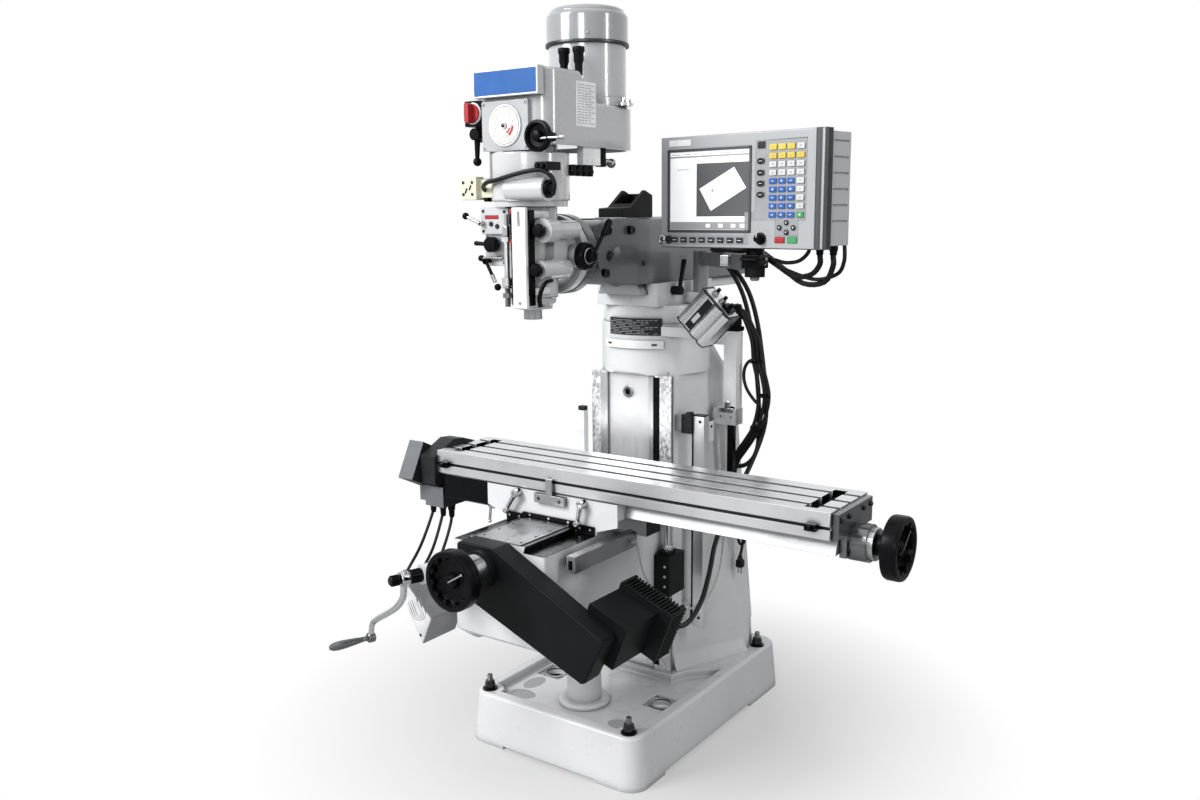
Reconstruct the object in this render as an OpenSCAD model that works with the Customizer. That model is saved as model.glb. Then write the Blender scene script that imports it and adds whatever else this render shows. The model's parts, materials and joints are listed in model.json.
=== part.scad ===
// Turret milling machine with servo driven axes and a swinging control pendant.
// Origin: on the floor, under the face of the column ways. X runs along the table, Y to the rear, Z up.

/* [Base and column] */
// Width of the cast base over the floor
base_w = 599; // [500:1:720]
// Length of the cast base, front to rear
base_len = 875; // [740:1:1050]
// Height of the base rim above the floor
base_h = 151; // [130:1:180]
// Height of the column ways above the base
column_rise = 911; // [880:1:1090]
// Radius of the round column neck under the turret
neck_r = 166; // [150:1:180]

/* [Table and knee] */
// Length of the table
table_len = 1219.2; // [1016:0.1:1463]
// Width of the table, front to rear
table_w = 228.6; // [215:0.1:274]
// Width of the knee body across the machine
knee_w = 304; // [296:1:330]
// Radius of the table and knee handwheels
wheel_r = 77; // [64:1:92]
// Radius of the leadscrews
screw_r = 12; // [10:0.5:14]

/* [Head and ram] */
// Half width of the ram fork
fork_x = 90; // [80:1:100]
// Radius of the quill
quill_r = 42.9; // [38:0.1:48]
// Radius of the spindle nose bore
nose_bore_r = 12.065; // [10:0.005:14]
// Radius of the drive motor body
motor_r = 103.5; // [88:0.5:110]

/* [Control pendant] */
// Width of the pendant housing
pendant_w = 500; // [420:1:600]
// Height of the pendant housing
pendant_h = 285; // [270:1:342]

/* [Fits] */
// Running clearance between sliding or turning faces
gap = 0.4; // [0.2:0.05:0.8]

/* [Hidden] */
paint = [0.78, 0.79, 0.8];
steel = [0.82, 0.83, 0.84];
black = [0.06, 0.06, 0.07];
grey = [0.45, 0.46, 0.48];
red = [0.7, 0.1, 0.1];
// the knee group follows the base height, the head group also the column rise
kz = base_h - 151;
up = kz + column_rise - 911;
// base
bx = base_w / 2;
by0 = -430;
by1 = by0 + base_len;
base_cy = (by0 + by1) / 2;
base_corner = 55;
draft = 12;
foot_h = 10;
foot_ring = 55;
notch = 28;
base_wall = 40;
rim = 38;
pan_z = base_h - 25;
pan_t = 22;
bolt_x = bx - 54;
bolt_y0 = by0 + 45;
bolt_y1 = by1 - 100;
bolt_rx = bx - 41;
lift_x = 0;
lift_y = -250;
// column
way_x = 141;
way_in = 116;
way_d = 30;
way_lip = 6;
way_top = base_h + column_rise;
neck_top = way_top + 150;
turret_y = 145;
col_wall = 22;
// knee, saddle and table heights
kx = knee_w / 2;
shoulder = 688 + kz;
slab = shoulder + 17;
groove_top = slab + 7;
saddle_top = 783 + kz;
table_top = 855 + kz;
y_screw_z = 650 + kz;
x_screw_z = 764 + kz;
crank_z = 622 + kz;
crank_turn = -107.56;
ty0 = -404;
ty1 = ty0 + table_w;
tyc = (ty0 + ty1) / 2;
tx0 = 199.6 - table_len / 2;
tx1 = 199.6 + table_len / 2;
saddle_y0 = -400;
saddle_y1 = ty1 - 5;
slot_pitch = 63.5;
// head
spin_y = -457;
motor_y = -205;
ram_z = 1425 + up;
pivot_y = -200;
cheek_t = 30;
// pendant, turned a little toward the operator
pend_x = 450;
pend_y = -193;
pend_z = 1582.5 + up;
pend_turn = -8.2;
post_x = 470;
post_y = -130;
arm_x = 150;
arm_y = 150;
px = pendant_w / 2;
pz = pendant_h / 2;

// Which sub-part to draw

// ---- shapes used throughout ----
module block(x0, x1, y0, y1, z0, z1) {
  translate([x0, y0, z0]) cube([x1 - x0, y1 - y0, z1 - z0]);
}
module rod_x(r, x0, x1, y, z) {
  translate([x0, y, z]) rotate([0, 90, 0]) cylinder(r = r, h = x1 - x0, $fn = 64);
}
module rod_y(r, y0, y1, x, z) {
  translate([x, y0, z]) rotate([-90, 0, 0]) cylinder(r = r, h = y1 - y0, $fn = 64);
}
module rod_z(r, z0, z1, x, y) {
  translate([x, y, z0]) cylinder(r = r, h = z1 - z0, $fn = 64);
}
// outline of x and z values, drawn out along y
module prism_y(points, y0, y1) {
  translate([0, y1, 0]) rotate([90, 0, 0]) linear_extrude(y1 - y0) polygon(points);
}
// outline of y and z values, drawn out along x
module prism_x(points, x0, x1) {
  translate([x0, 0, 0]) rotate([90, 0, 90]) linear_extrude(x1 - x0) polygon(points);
}
module rounded(w, d, r) {
  square([w - 2 * r, d], center = true);
  square([w, d - 2 * r], center = true);
  for (sx = [-1, 1], sy = [-1, 1])
    translate([sx * (w / 2 - r), sy * (d / 2 - r)]) circle(r = r, $fn = 64);
}

// ---- flexible cables: a tube swept along a smooth curve through a few points ----
cable_sides = 10;
function unit(v) = v / norm(v);
function at(p, i) = p[max(0, min(len(p) - 1, i))];
function smooth(a, b, c, d, t) =
  0.5 * (2 * b + (c - a) * t + (2 * a - 5 * b + 4 * c - d) * t * t + (3 * b - a - 3 * c + d) * t * t * t);
function curve(p, n) = concat(
  [for (i = [0:len(p) - 2], k = [0:n - 1]) smooth(at(p, i - 1), p[i], p[i + 1], at(p, i + 2), k / n)],
  [p[len(p) - 1]]);
function heading(q, i) = unit(at(q, i + 1) - at(q, i - 1));
// a side direction carried along the curve so the tube never twists sharply
function carried(q, i) = i == 0
  ? unit(cross(heading(q, 0), abs(heading(q, 0)[2]) > 0.8 ? [1, 0, 0] : [0, 0, 1]))
  : let (s = carried(q, i - 1), h = heading(q, i)) unit(s - h * (s * h));
function sides(q) = [for (i = 0, s = carried(q, 0); i < len(q); i = i + 1,
  s = i < len(q) ? unit(s - heading(q, i) * (s * heading(q, i))) : s) s];
function ring(c, h, s, r, m) = [for (j = [0:m - 1])
  c + r * (cos(360 * j / m) * s + sin(360 * j / m) * cross(h, s))];
module cable(route, r, n, m) {
  q = curve(route, n);
  s = sides(q);
  pts = [for (i = [0:len(q) - 1]) each ring(q[i], heading(q, i), s[i], r, m)];
  last = (len(q) - 1) * m;
  walls = [for (i = [0:len(q) - 2], j = [0:m - 1])
    [i * m + j, (i + 1) * m + j, (i + 1) * m + (j + 1) % m, i * m + (j + 1) % m]];
  ends = [[for (j = [0:m - 1]) j], [for (j = [m - 1:-1:0]) last + j]];
  polyhedron(points = pts, faces = concat(walls, ends), convexity = 10);
}

// ---- base and column ----
module bolt_spots() {
  for (s = [-1, 1]) {
    translate([s * bolt_x, bolt_y0]) children();
    translate([s * bolt_rx, bolt_y1]) children();
  }
}
module base_casting() {
  color(paint) difference() {
    union() {
      // foot ring that stands on the floor
      translate([0, base_cy, 0]) linear_extrude(foot_h) difference() {
        rounded(base_w, base_len, base_corner);
        square([base_w - 2 * foot_ring, base_len - 2 * foot_ring], center = true);
      }
      hull() {
        translate([0, base_cy, foot_h]) linear_extrude(1) rounded(base_w, base_len, base_corner);
        translate([0, base_cy, base_h - 1]) linear_extrude(1)
          rounded(base_w - 2 * draft, base_len - 2 * draft, base_corner - draft / 2);
      }
    }
    // hollow underside, with a boss round each bolt
    translate([0, 0, foot_h / 2]) linear_extrude(pan_z - pan_t - foot_h / 2) difference() {
      translate([0, base_cy]) square([base_w - 2 * base_wall, base_len - 2 * base_wall], center = true);
      bolt_spots() circle(r = 30, $fn = 48);
    }
    // low arches between the corner feet
    for (y = [by0 - 1, by1 - notch]) block(-163, 163, y, y + notch + 1, -1, foot_h);
    for (x = [-bx - 1, bx - notch]) block(x, x + notch + 1, -285, 222, -1, foot_h);
    // chip and coolant pan in front of and beside the column
    translate([0, 0, pan_z]) linear_extrude(base_h - pan_z + 1) difference() {
      polygon([[-bx + draft + rim, by0 + draft + rim], [bx - draft - rim, by0 + draft + rim],
        [bx - draft - rim, 120], [172, 50], [150, -8], [-150, -8], [-172, 50], [-bx + draft + rim, 120]]);
      bolt_spots() circle(r = 42, $fn = 64);
    }
    // drain recesses and their round holes
    for (s = [-1, 1]) {
      block(s * 193 - 41, s * 193 + 41, -177, -95, pan_z - 8, pan_z + 1);
      rod_z(30, pan_z - pan_t - 1, pan_z, s * 193, -136);
    }
    // opening under the column and well for the lift screw
    block(-90, 90, 90, 330, pan_z - pan_t - 2, base_h + 1);
    rod_z(30, pan_z - pan_t - 1, pan_z + 1, lift_x, lift_y);
    // bolt holes
    translate([0, 0, -1]) linear_extrude(base_h + 2) bolt_spots() circle(r = 8 + gap, $fn = 48);
  }
}
module leveling_bolts() {
  color(steel) union() {
    linear_extrude(base_h + 45) bolt_spots() circle(r = 8, $fn = 48);
    translate([0, 0, base_h]) linear_extrude(4) bolt_spots() circle(r = 22, $fn = 64);
    translate([0, 0, base_h + 4]) linear_extrude(15) bolt_spots() circle(r = 16, $fn = 6);
    translate([0, 0, base_h + 19]) linear_extrude(8) bolt_spots() circle(r = 14, $fn = 6);
  }
}
// column section behind the ways: widest near the rear
module column_plan(z, front, rear, wall = 0) {
  f = front - wall;
  r = rear - wall;
  translate([0, 0, z]) linear_extrude(1) polygon([[-f, way_d + wall], [f, way_d + wall], [r, 340 - wall / 2],
    [r - 50, 400 - wall], [-r + 50, 400 - wall], [-r, 340 - wall / 2]]);
}
module column_body() {
  hull() {
    column_plan(base_h, 130, 250);
    column_plan(way_top - 1, 130, 166);
  }
}
module column_casting() {
  color(paint) difference() {
    union() {
      column_body();
      hull() {
        column_plan(way_top - 60, 130, 168);
        rod_z(neck_r - 8, way_top + 90, way_top + 100, 0, turret_y);
      }
      rod_z(neck_r, way_top, neck_top, 0, turret_y);
      // ways: flat face, undercut sides and a shallow relief down the middle
      translate([0, 0, base_h]) linear_extrude(column_rise) polygon([[-way_x, 0], [-85, 0], [-85, 8], [85, 8],
        [85, 0], [way_x, 0], [way_x, way_lip], [way_in, way_d], [way_in, 60], [-way_in, 60], [-way_in, way_d],
        [-way_x, way_lip]]);
    }
    hull() {
      column_plan(base_h - 1, 130, 250, col_wall);
      column_plan(way_top - 40, 130, 166, col_wall);
    }
    rod_z(55 + gap, neck_top - 30, neck_top + 1, 0, turret_y);
    // plugged hole high on the ways
    rod_y(13, 7, 14, -13, way_top - 57);
    // room for the rear levelling bolts
    for (s = [-1, 1]) rod_z(30, base_h - 1, base_h + 95, s * bolt_rx, bolt_y1);
  }
}
module screw_pedestal() {
  color(paint) difference() {
    union() {
      rod_z(75, pan_z, pan_z + 15, lift_x, lift_y);
      rod_z(50, pan_z, 515 + kz, lift_x, lift_y);
    }
    rod_z(30, pan_z - 1, 475 + kz, lift_x, lift_y);
    rod_z(15 + gap, 474 + kz, 516 + kz, lift_x, lift_y);
  }
}
module z_scale_bar() {
  color(steel) difference() {
    union() {
      block(185, 225, 45, 75, 300 + kz, 945 + up);
      for (z = [320 + kz, 900 + up]) block(100, 186, 35, 62, z, z + 45);
    }
    column_body();
  }
}
module cable_duct() {
  color(paint) difference() {
    union() {
      block(211, 253, 185, 225, 949 + up, 1188 + up);
      block(180, 255, 182, 228, 900 + up, 949 + up);
      block(222, 242, 192, 212, 560 + kz, 900 + up);
      rod_z(20, 1188 + up, 1262 + up, 236, 205);
      for (z = [905 + up, 600 + kz]) block(60, 223, 195, 209, z, z + 30);
      block(100, 212, 195, 209, 1140 + up, 1170 + up);
    }
    column_body();
    rod_z(neck_r + gap / 2, way_top - 60, neck_top + 1, 0, turret_y);
    hull() {
      column_plan(way_top - 60, 130, 168);
      rod_z(neck_r - 8, way_top + 90, way_top + 100, 0, turret_y);
    }
  }
}
module drive_enclosure() {
  color(grey) difference() {
    union() {
      translate([252, 0, 1240 + up]) rotate([0, 45, 0]) {
        block(-58, 58, -15, 45, -58, 58);
        for (i = [-5:5]) block(i * 10 - 2, i * 10 + 2, -21, -14, -50, 50);
      }
      block(100, 222, 8, 38, 1178 + up, 1206 + up);
    }
    rod_z(neck_r + gap / 2, way_top - 60, neck_top + 1, 0, turret_y);
  }
}
cord_route = [[232, 212.3, 700], [232, 219, 700], [232, 226, 700], [236, 232, 660], [240, 234, 560], [243, 240, 522],
  [250, 246, 514], [258, 248, 530], [260, 248, 600], [258, 246, 680], [254, 250, 710], [250, 258, 700],
  [250, 262, 640], [248, 262, 560], [244, 258, 500], [242, 251, 476]];
module plug_cord() {
  color(black) translate([0, 0, kz]) union() {
    cable(cord_route, 4.5, 4, 8);
    block(230, 254, 240, 262, 436, 477);
    for (x = [236, 248]) block(x - 1, x + 1, 247, 253, 418, 437);
    rod_z(2.4, 415, 437, 242, 257);
  }
}

// ---- turret and ram ----
ram_tail = 560;
tail_half = 62;
tail_foot = 74;
tail_z0 = 1300 + up;
ram_z0 = 1332 + up;
module turret() {
  color(paint) difference() {
    union() {
      rod_z(160, neck_top, neck_top + 53, 0, turret_y);
      block(-105, 105, -20, 300, neck_top + 53, ram_z0 - gap);
      rod_z(55, neck_top - 28, neck_top + 1, 0, turret_y);
      // bracket and pin that carry the pendant arm
      block(100, 172, arm_y - 22, arm_y + 22, neck_top + 56, tail_z0);
      rod_z(10, tail_z0 - 1, tail_z0 + 30, arm_x, arm_y);
    }
    // dovetail slot for the ram
    prism_y([[-tail_foot - gap, tail_z0 - gap], [tail_foot + gap, tail_z0 - gap], [tail_half + gap, ram_z0 + 1],
      [-tail_half - gap, ram_z0 + 1]], -30, 310);
  }
}
module ram_lock_lever() {
  color(black) translate([0, 0, up]) {
    rod_x(13, 105 + gap, 136, 65, 1308);
    hull() {
      rod_x(6, 124, 132, 65, 1308);
      rod_x(5, 124, 132, 80, 1360);
    }
    hull() {
      rod_x(5, 124, 132, 80, 1360);
      rod_x(6, 124, 134, 88, 1392);
    }
  }
}
module ram() {
  color(paint) difference() {
    union() {
      translate([0, ram_tail, ram_z]) rotate([90, 0, 0]) linear_extrude(ram_tail + 105)
        polygon([[-84, -93], [84, -93], [84, 60], [70, 88], [48, 95], [-48, 95], [-70, 88], [-84, 60]]);
      prism_y([[-tail_foot, tail_z0], [tail_foot, tail_z0], [tail_half, ram_z0 + 2], [-tail_half, ram_z0 + 2]],
        -60, ram_tail);
      // fork cheeks
      for (x = [-fork_x, fork_x - cheek_t]) {
        rod_x(92, x, x + cheek_t, pivot_y, ram_z);
        block(x, x + cheek_t, pivot_y, -95, ram_z - 90, ram_z + 92);
      }
    }
    // hollow rear end
    block(-60, 60, 60, ram_tail + 1, ram_z - 62, ram_z + 60);
    rod_x(16, -fork_x - 1, fork_x + 1, pivot_y, ram_z);
    for (p = nod_spots) rod_x(8 + gap, -fork_x - 1, fork_x + 1, p[0], ram_z + p[1]);
    rod_x(14, fork_x - 8, fork_x + 1, pivot_y - 40, ram_z - 7);
  }
}
nod_spots = [[-253, 60], [-264, -52], [-140, 60]];
module nod_bolts() {
  color(black) for (s = [-1, 1]) {
    for (p = nod_spots) {
      rod_x(8, s > 0 ? fork_x - cheek_t + 2 : -fork_x, s > 0 ? fork_x : -fork_x + cheek_t - 2, p[0], ram_z + p[1]);
      rod_x(12, s > 0 ? fork_x : -fork_x - 11, s > 0 ? fork_x + 11 : -fork_x, p[0], ram_z + p[1]);
    }
  }
  color(steel) rod_x(16 - gap / 2, -fork_x, fork_x, pivot_y, ram_z);
}
module ram_bracket() {
  color(black) translate([0, 0, up]) difference() {
    prism_x([[-100, 1520], [55, 1520], [55, 1582], [15, 1596], [-55, 1548], [-100, 1545]], -42, 42);
    block(-30, 30, -40, 41, 1532, 1600);
  }
}
module head_adapter() {
  color(paint) difference() {
    union() {
      rod_x(88, -fork_x + cheek_t + gap, fork_x - cheek_t - gap, pivot_y, ram_z);
      rod_y(58, -320, pivot_y, 0, ram_z);
      rod_y(105, -345, -310, 0, ram_z);
    }
    rod_x(16, -fork_x, fork_x, pivot_y, ram_z);
    rod_y(22, -346, -320, 0, ram_z);
  }
}

// ---- head ----
case_z0 = 1320;
case_z1 = 1548;
gear_z1 = 1681;
belt_z0 = 1697;
ledge_z = 1808;
case_r = 67;
module head_casting() {
  color(paint) translate([0, 0, up]) difference() {
    union() {
      rod_z(case_r, case_z0, case_z1, 0, spin_y);
      rod_z(61, 1303, case_z0, 0, spin_y);
      rod_z(51.5, 1290, 1304, 0, spin_y);
      rod_y(103, -372, -345 - gap, 0, 1425);
      rod_y(84, -425, -371, 0, 1425);
      // bosses on the right for the clamp bolts
      rod_y(30, -533, -490, 94, 1490);
      rod_y(23, -491, -400, 94, 1490);
      rod_y(22.5, -540, -430, 89, 1394);
      block(45, 90, -480, -425, 1380, 1505);
      // boss for the quill feed handle
      rod_x(31, 60, 108, -390, 1423);
      block(-80, -40, -470, -400, 1380, 1470);
      rod_x(24, -112, -60, -400, 1440);
    }
    rod_z(quill_r + gap / 2, 1289, case_z1 + 1, 0, spin_y);
  }
}
module gear_housing() {
  color(paint) translate([0, 0, up]) difference() {
    union() {
      rod_z(94, case_z1, 1562, 0, spin_y);
      rod_z(100, 1562, gear_z1, 0, spin_y);
      rod_z(70, gear_z1, belt_z0, 0, spin_y);
      rod_x(29, 0, 120, -540, 1590);
    }
    rod_z(60, 1562, 1670, 0, spin_y);
    rod_z(14, case_z1 - 1, belt_z0 + 1, 0, spin_y);
    rod_x(15.5, 98, 121, -540, 1590);
  }
}
module belt_plan(inset) {
  w = 116 - inset;
  translate([0, -455]) rounded(2 * w, 150 - 2 * inset, 45 - inset);
  translate([-w, -430]) square([2 * w, 225]);
  translate([0, motor_y]) circle(r = w, $fn = 96);
}
module belt_housing() {
  color(grey) translate([0, 0, up]) difference() {
    union() {
      translate([0, 0, belt_z0]) linear_extrude(183) belt_plan(0);
      // name plate box and dial plate on the front
      block(-103, 103, -551, -529, 1813, 1880);
      block(-86, 61, -540, -500, 1684 + 13, 1805);
      block(-86, 61, -540, -530, 1684, 1700);
    }
    // top falls away to the motor seat
    prism_x([[-398, 1881], [-318, ledge_z], [-80, ledge_z], [-80, 1890], [-398, 1890]], -130, 130);
    // room for the belt and pulleys
    translate([0, 0, 1750]) linear_extrude(44) belt_plan(12);
    // hollow under the rear
    translate([0, 0, belt_z0 - 1]) linear_extrude(44) difference() {
      belt_plan(12);
      translate([-120, -560]) square([240, 230]);
    }
    rod_z(14, belt_z0 - 1, 1751, 0, spin_y);
    rod_z(30, 1790, ledge_z + 1, 0, motor_y);
    rod_y(12 + gap, -560, -498, 106, 1714);
    rod_y(6 + gap / 2, -541, -520, -10, 1745);
  }
}
module motor_body() {
  color(grey) translate([0, 0, up]) difference() {
    union() {
      rod_z(motor_r + 5, ledge_z, 1830, 0, motor_y);
      rod_z(motor_r, 1829, 1973, 0, motor_y);
    }
    rod_z(66, 1822, 1974, 0, motor_y);
    rod_z(30, ledge_z - 1, 1823, 0, motor_y);
  }
}
module motor_cap() {
  color(grey) translate([0, 0, up]) difference() {
    union() {
      rod_z(motor_r + 6, 1973, 2052, 0, motor_y);
      rod_z(motor_r - 2, 2051, 2063, 0, motor_y);
    }
    rod_z(motor_r - 6, 1972, 2050, 0, motor_y);
  }
}
module motor_rotor() {
  color(steel) translate([0, 0, up]) {
    rod_z(12, 1753, 2000, 0, motor_y);
    rod_z(42, 1756, 1788, 0, motor_y);
    rod_z(65.4, 1832, 1960, 0, motor_y);
    difference() {
      rod_z(motor_r - 20, 1980, 2010, 0, motor_y);
      rod_z(motor_r - 30, 1988, 2011, 0, motor_y);
    }
    rod_z(20, 1980, 2010, 0, motor_y);
  }
}
module speed_dial() {
  color([0.9, 0.9, 0.88]) translate([0, 0, up]) {
    rod_y(45, -545, -540 - gap, -10, 1745);
    rod_y(6, -546, -522, -10, 1745);
    rod_y(8, -549, -544, -10, 1745);
  }
}
module speed_handwheel() {
  color(black) translate([0, 0, up]) {
    difference() {
      rod_y(38, -566, -550, 106, 1714);
      for (a = [0:60:300])
        rod_y(9, -567, -549, 106 + 24 * cos(a), 1714 + 24 * sin(a));
    }
    rod_y(12, -570, -500, 106, 1714);
    rod_x(5, 138, 176, -562, 1708);
    rod_x(8, 174, 188, -562, 1708);
  }
}
module drum_switch() {
  color(red) translate([0, 0, up]) {
    rod_y(24, -512, -502, -147, 1784);
    hull() for (z = [1766, 1802]) rod_y(7, -530, -510, -147, z);
  }
}
module switch_box() {
  color(black) translate([0, 0, up]) difference() {
    union() {
      // motor switch body on the left of the belt housing
      block(-178, -116, -502 + gap, -440, 1752, 1816);
      block(-170, -116, -470, -430, 1715, 1753);
    }
    rod_y(10, -503, -490, -147, 1784);
  }
  // connector block lower down
  color([0.85, 0.82, 0.7]) translate([0, 0, up]) difference() {
    union() {
      block(-174, -120, -530, -480, 1567, 1625);
      block(-124, -70, -515, -450, 1572, 1618);
    }
    rod_z(100 + gap / 2, 1560, 1682, 0, spin_y);
  }
}
module brake_lever() {
  color(black) translate([0, 0, up]) {
    rod_y(15, -520, -490, -131.6, 1731);
    hull() {
      rod_y(6, -512, -500, -132, 1731);
      rod_y(4, -510, -502, -134, 1672);
    }
    translate([-134, -506, 1663]) sphere(r = 11, $fn = 40);
  }
}
module feed_gearbox() {
  color(paint) translate([0, 0, up]) difference() {
    union() {
      block(-107, -16, -530, -440, 1480, 1547);
      block(-100, -30, -522, -450, 1400, 1481);
    }
    rod_z(case_r + gap / 2, 1390, 1560, 0, spin_y);
    block(-93, -48, -531, -526, 1518, 1527);
    block(-81, -38, -471, -399, 1379, 1471);
    rod_x(24 + gap / 2, -113, -59, -400, 1440);
    rod_y(5 + gap / 2, -531, -512, -100, 1508);
    rod_y(6 + gap / 2, -531, -505, -63, 1455);
    rod_y(5 + gap / 2, -531, -505, -85, 1412);
  }
}
module feed_lever() {
  color(steel) translate([0, 0, up]) {
    rod_y(5, -536, -515, -100, 1508);
    hull() {
      rod_y(7, -544, -534, -100, 1508);
      rod_y(5, -544, -536, -140, 1523);
    }
    hull() {
      rod_y(9.5, -544, -536, -149, 1526.4);
      rod_y(6, -548, -532, -149, 1526.4);
    }
  }
}
module feed_knob() {
  color(black) translate([0, 0, up]) {
    rod_y(6, -532, -508, -63, 1455);
    rod_y(20, -552, -530 - gap, -63, 1455);
    hull() {
      rod_y(6, -551, -541, -63, 1455);
      rod_y(5, -551, -541, -116, 1458);
    }
  }
}
module trip_lever() {
  color(steel) translate([0, 0, up]) {
    rod_y(5, -536, -508, -85, 1412);
    hull() {
      rod_y(8, -545, -535, -85, 1412);
      rod_y(5, -544, -536, -52, 1356);
    }
    translate([-46, -540, 1347]) sphere(r = 9, $fn = 36);
  }
}
module quill_scales() {
  color(steel) translate([0, 0, up]) difference() {
    union() {
      block(30, 72, -572, -562, 1300, 1546);
      for (z = [1330, 1520]) block(34, 68, -563, -470, z, z + 18);
      // depth stop screw with its nut
      rod_z(7, 1300, 1476, -10, -545);
      rod_z(14, 1352, 1372, -10, -545);
      for (z = [1322, 1462]) block(-20, 0, -552, -500, z, z + 12);
    }
    rod_z(case_r + gap / 2, 1290, 1560, 0, spin_y);
    block(47, 55, -573, -560, 1500, 1536);
    rod_y(5, -573, -560, 51, 1312);
  }
}
module head_knobs() {
  color(black) translate([0, 0, up]) {
    rod_y(12, -550, -533, 94, 1490);
    rod_y(12, -557, -540, 89, 1394);
  }
}
module quill() {
  color(steel) translate([0, 0, up]) difference() {
    rod_z(quill_r, 1290, 1532, 0, spin_y);
    rod_z(17 + gap, 1289, 1533, 0, spin_y);
  }
}
module spindle() {
  color(steel) translate([0, 0, up]) difference() {
    union() {
      rod_z(17, 1280, 1540, 0, spin_y);
      rod_z(23.8, 1262, 1290 - gap, 0, spin_y);
      rod_z(12, 1539, 1700, 0, spin_y);
    }
    rod_z(nose_bore_r, 1261, 1340, 0, spin_y);
    for (a = [0:40:320])
      rod_z(2.4, 1261, 1280, 25 * cos(a), spin_y + 25 * sin(a));
  }
}
module quill_handle() {
  color(black) translate([0, 0, up]) {
    rod_x(36, 108 + gap, 132, -390, 1423);
    rod_x(14, 131, 150, -390, 1423);
    hull() {
      rod_x(6, 138, 150, -390, 1423);
      rod_x(5, 140, 150, -345, 1480);
    }
    hull() {
      rod_x(8, 138, 152, -348, 1476);
      rod_x(10, 138, 156, -322, 1508);
    }
  }
}

// ---- knee ----
module knee_casting() {
  color(paint) difference() {
    union() {
      prism_x([[-620, shoulder], [-gap, shoulder], [-gap, 330 + kz], [-300, 345 + kz], [-560, 395 + kz],
        [-620, 440 + kz]], -kx, kx);
      // dovetail slab that carries the saddle
      prism_y([[-84, shoulder - 1], [84, shoulder - 1], [90, slab], [-90, slab]], -620, -gap);
      // lips that wrap the column ways
      for (s = [0, 1]) mirror([s, 0, 0]) translate([0, 0, 330 + kz]) linear_extrude(shoulder - 330 - kz)
        polygon([[140, -30], [max(165, kx), -30], [max(165, kx), 27], [120.5, 27], [way_x + 0.6, way_lip + 0.8],
          [way_x + 0.6, -gap], [140, -gap]]);
      translate([0, -255, crank_z]) rotate([0, 0, crank_turn]) rod_x(26, 376, 512, 0, 0);
    }
    // hollow inside, open below
    block(-kx + 24, kx - 24, -596, -30, 300 + kz, 610 + kz);
    rod_z(15 + gap, 600 + kz, y_screw_z - 30, lift_x, lift_y);
    // trough for the cross screw
    block(-35, 35, -600, -90, y_screw_z - 30, slab + 1);
    rod_y(screw_r + gap, -621, -599, 0, y_screw_z);
    translate([0, -255, crank_z]) rotate([0, 0, crank_turn]) rod_x(12 + gap, 350, 513, 0, 0);
  }
}
module y_belt_cover() {
  color(black) difference() {
    union() {
      translate([0, 0, kz]) prism_y([[-87, 700], [-79, 708], [35, 708], [365, 539], [369, 528], [313, 418],
        [302, 415], [-87, 571]], -680, -620);
      rod_y(50, -702, -679, 0, y_screw_z);
    }
    rod_y(screw_r + gap, -703, -619, 0, y_screw_z);
  }
}
module y_motor() {
  color(black) translate([335, 0, 515 + kz]) rotate([0, 22, 0]) union() {
    block(-75, 45, -619.9, -478, -60, 60);
    difference() {
      block(-82, 82, -479, -408, -70, 70);
      for (i = [-7:7]) {
        block(i * 10 - 2.5, i * 10 + 2.5, -470, -407, 62, 71);
        block(i * 10 - 2.5, i * 10 + 2.5, -470, -407, -71, -62);
      }
      for (i = [-6:6]) block(74, 83, -470, -407, i * 10 - 2.5, i * 10 + 2.5);
    }
  }
}
module junction_box() {
  color([0.86, 0.87, 0.88]) translate([0, 0, kz]) union() {
    prism_y([[-255, 567], [-166, 484], [-202, 405], [-264, 510]], -700, -575);
    block(-200, -kx, -618, -585, 500, 512);
    block(-205, -kx - 8, -618, -585, 490, 502);
  }
}
module y_scale_bar() {
  color(steel) union() {
    block(kx + 20, kx + 48, -555, -275, 637 + kz, 680 + kz);
    for (y = [-535, -310]) block(kx, kx + 21, y, y + 22, 645 + kz, 672 + kz);
  }
}
module knee_screw() {
  color(steel) translate([0, 0, kz]) {
    rod_z(15, 110, 612, lift_x, lift_y);
    rod_z(36, 575, 598, lift_x, lift_y);
  }
}
module knee_crank() {
  color(steel) translate([0, -255, crank_z]) rotate([0, 0, crank_turn]) {
    rod_x(12, 360, 600, 0, 0);
    rod_x(24, 512 + gap, 545, 0, 0);
    rod_x(18, 544, 600, 0, 0);
    hull() {
      rod_x(19, 580, 596, 0, 0);
      rod_x(12, 584, 596, -40, -60);
    }
    hull() {
      rod_x(12, 584, 596, -40, -60);
      rod_x(11, 592, 604, -100, -142);
    }
    hull() {
      rod_x(11, 592, 604, -100, -142);
      rod_x(15, 590, 606, -129, -189);
    }
    rod_x(8, 605, 625, -129, -189);
    rod_x(14, 624, 715, -129, -189);
  }
}
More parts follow.
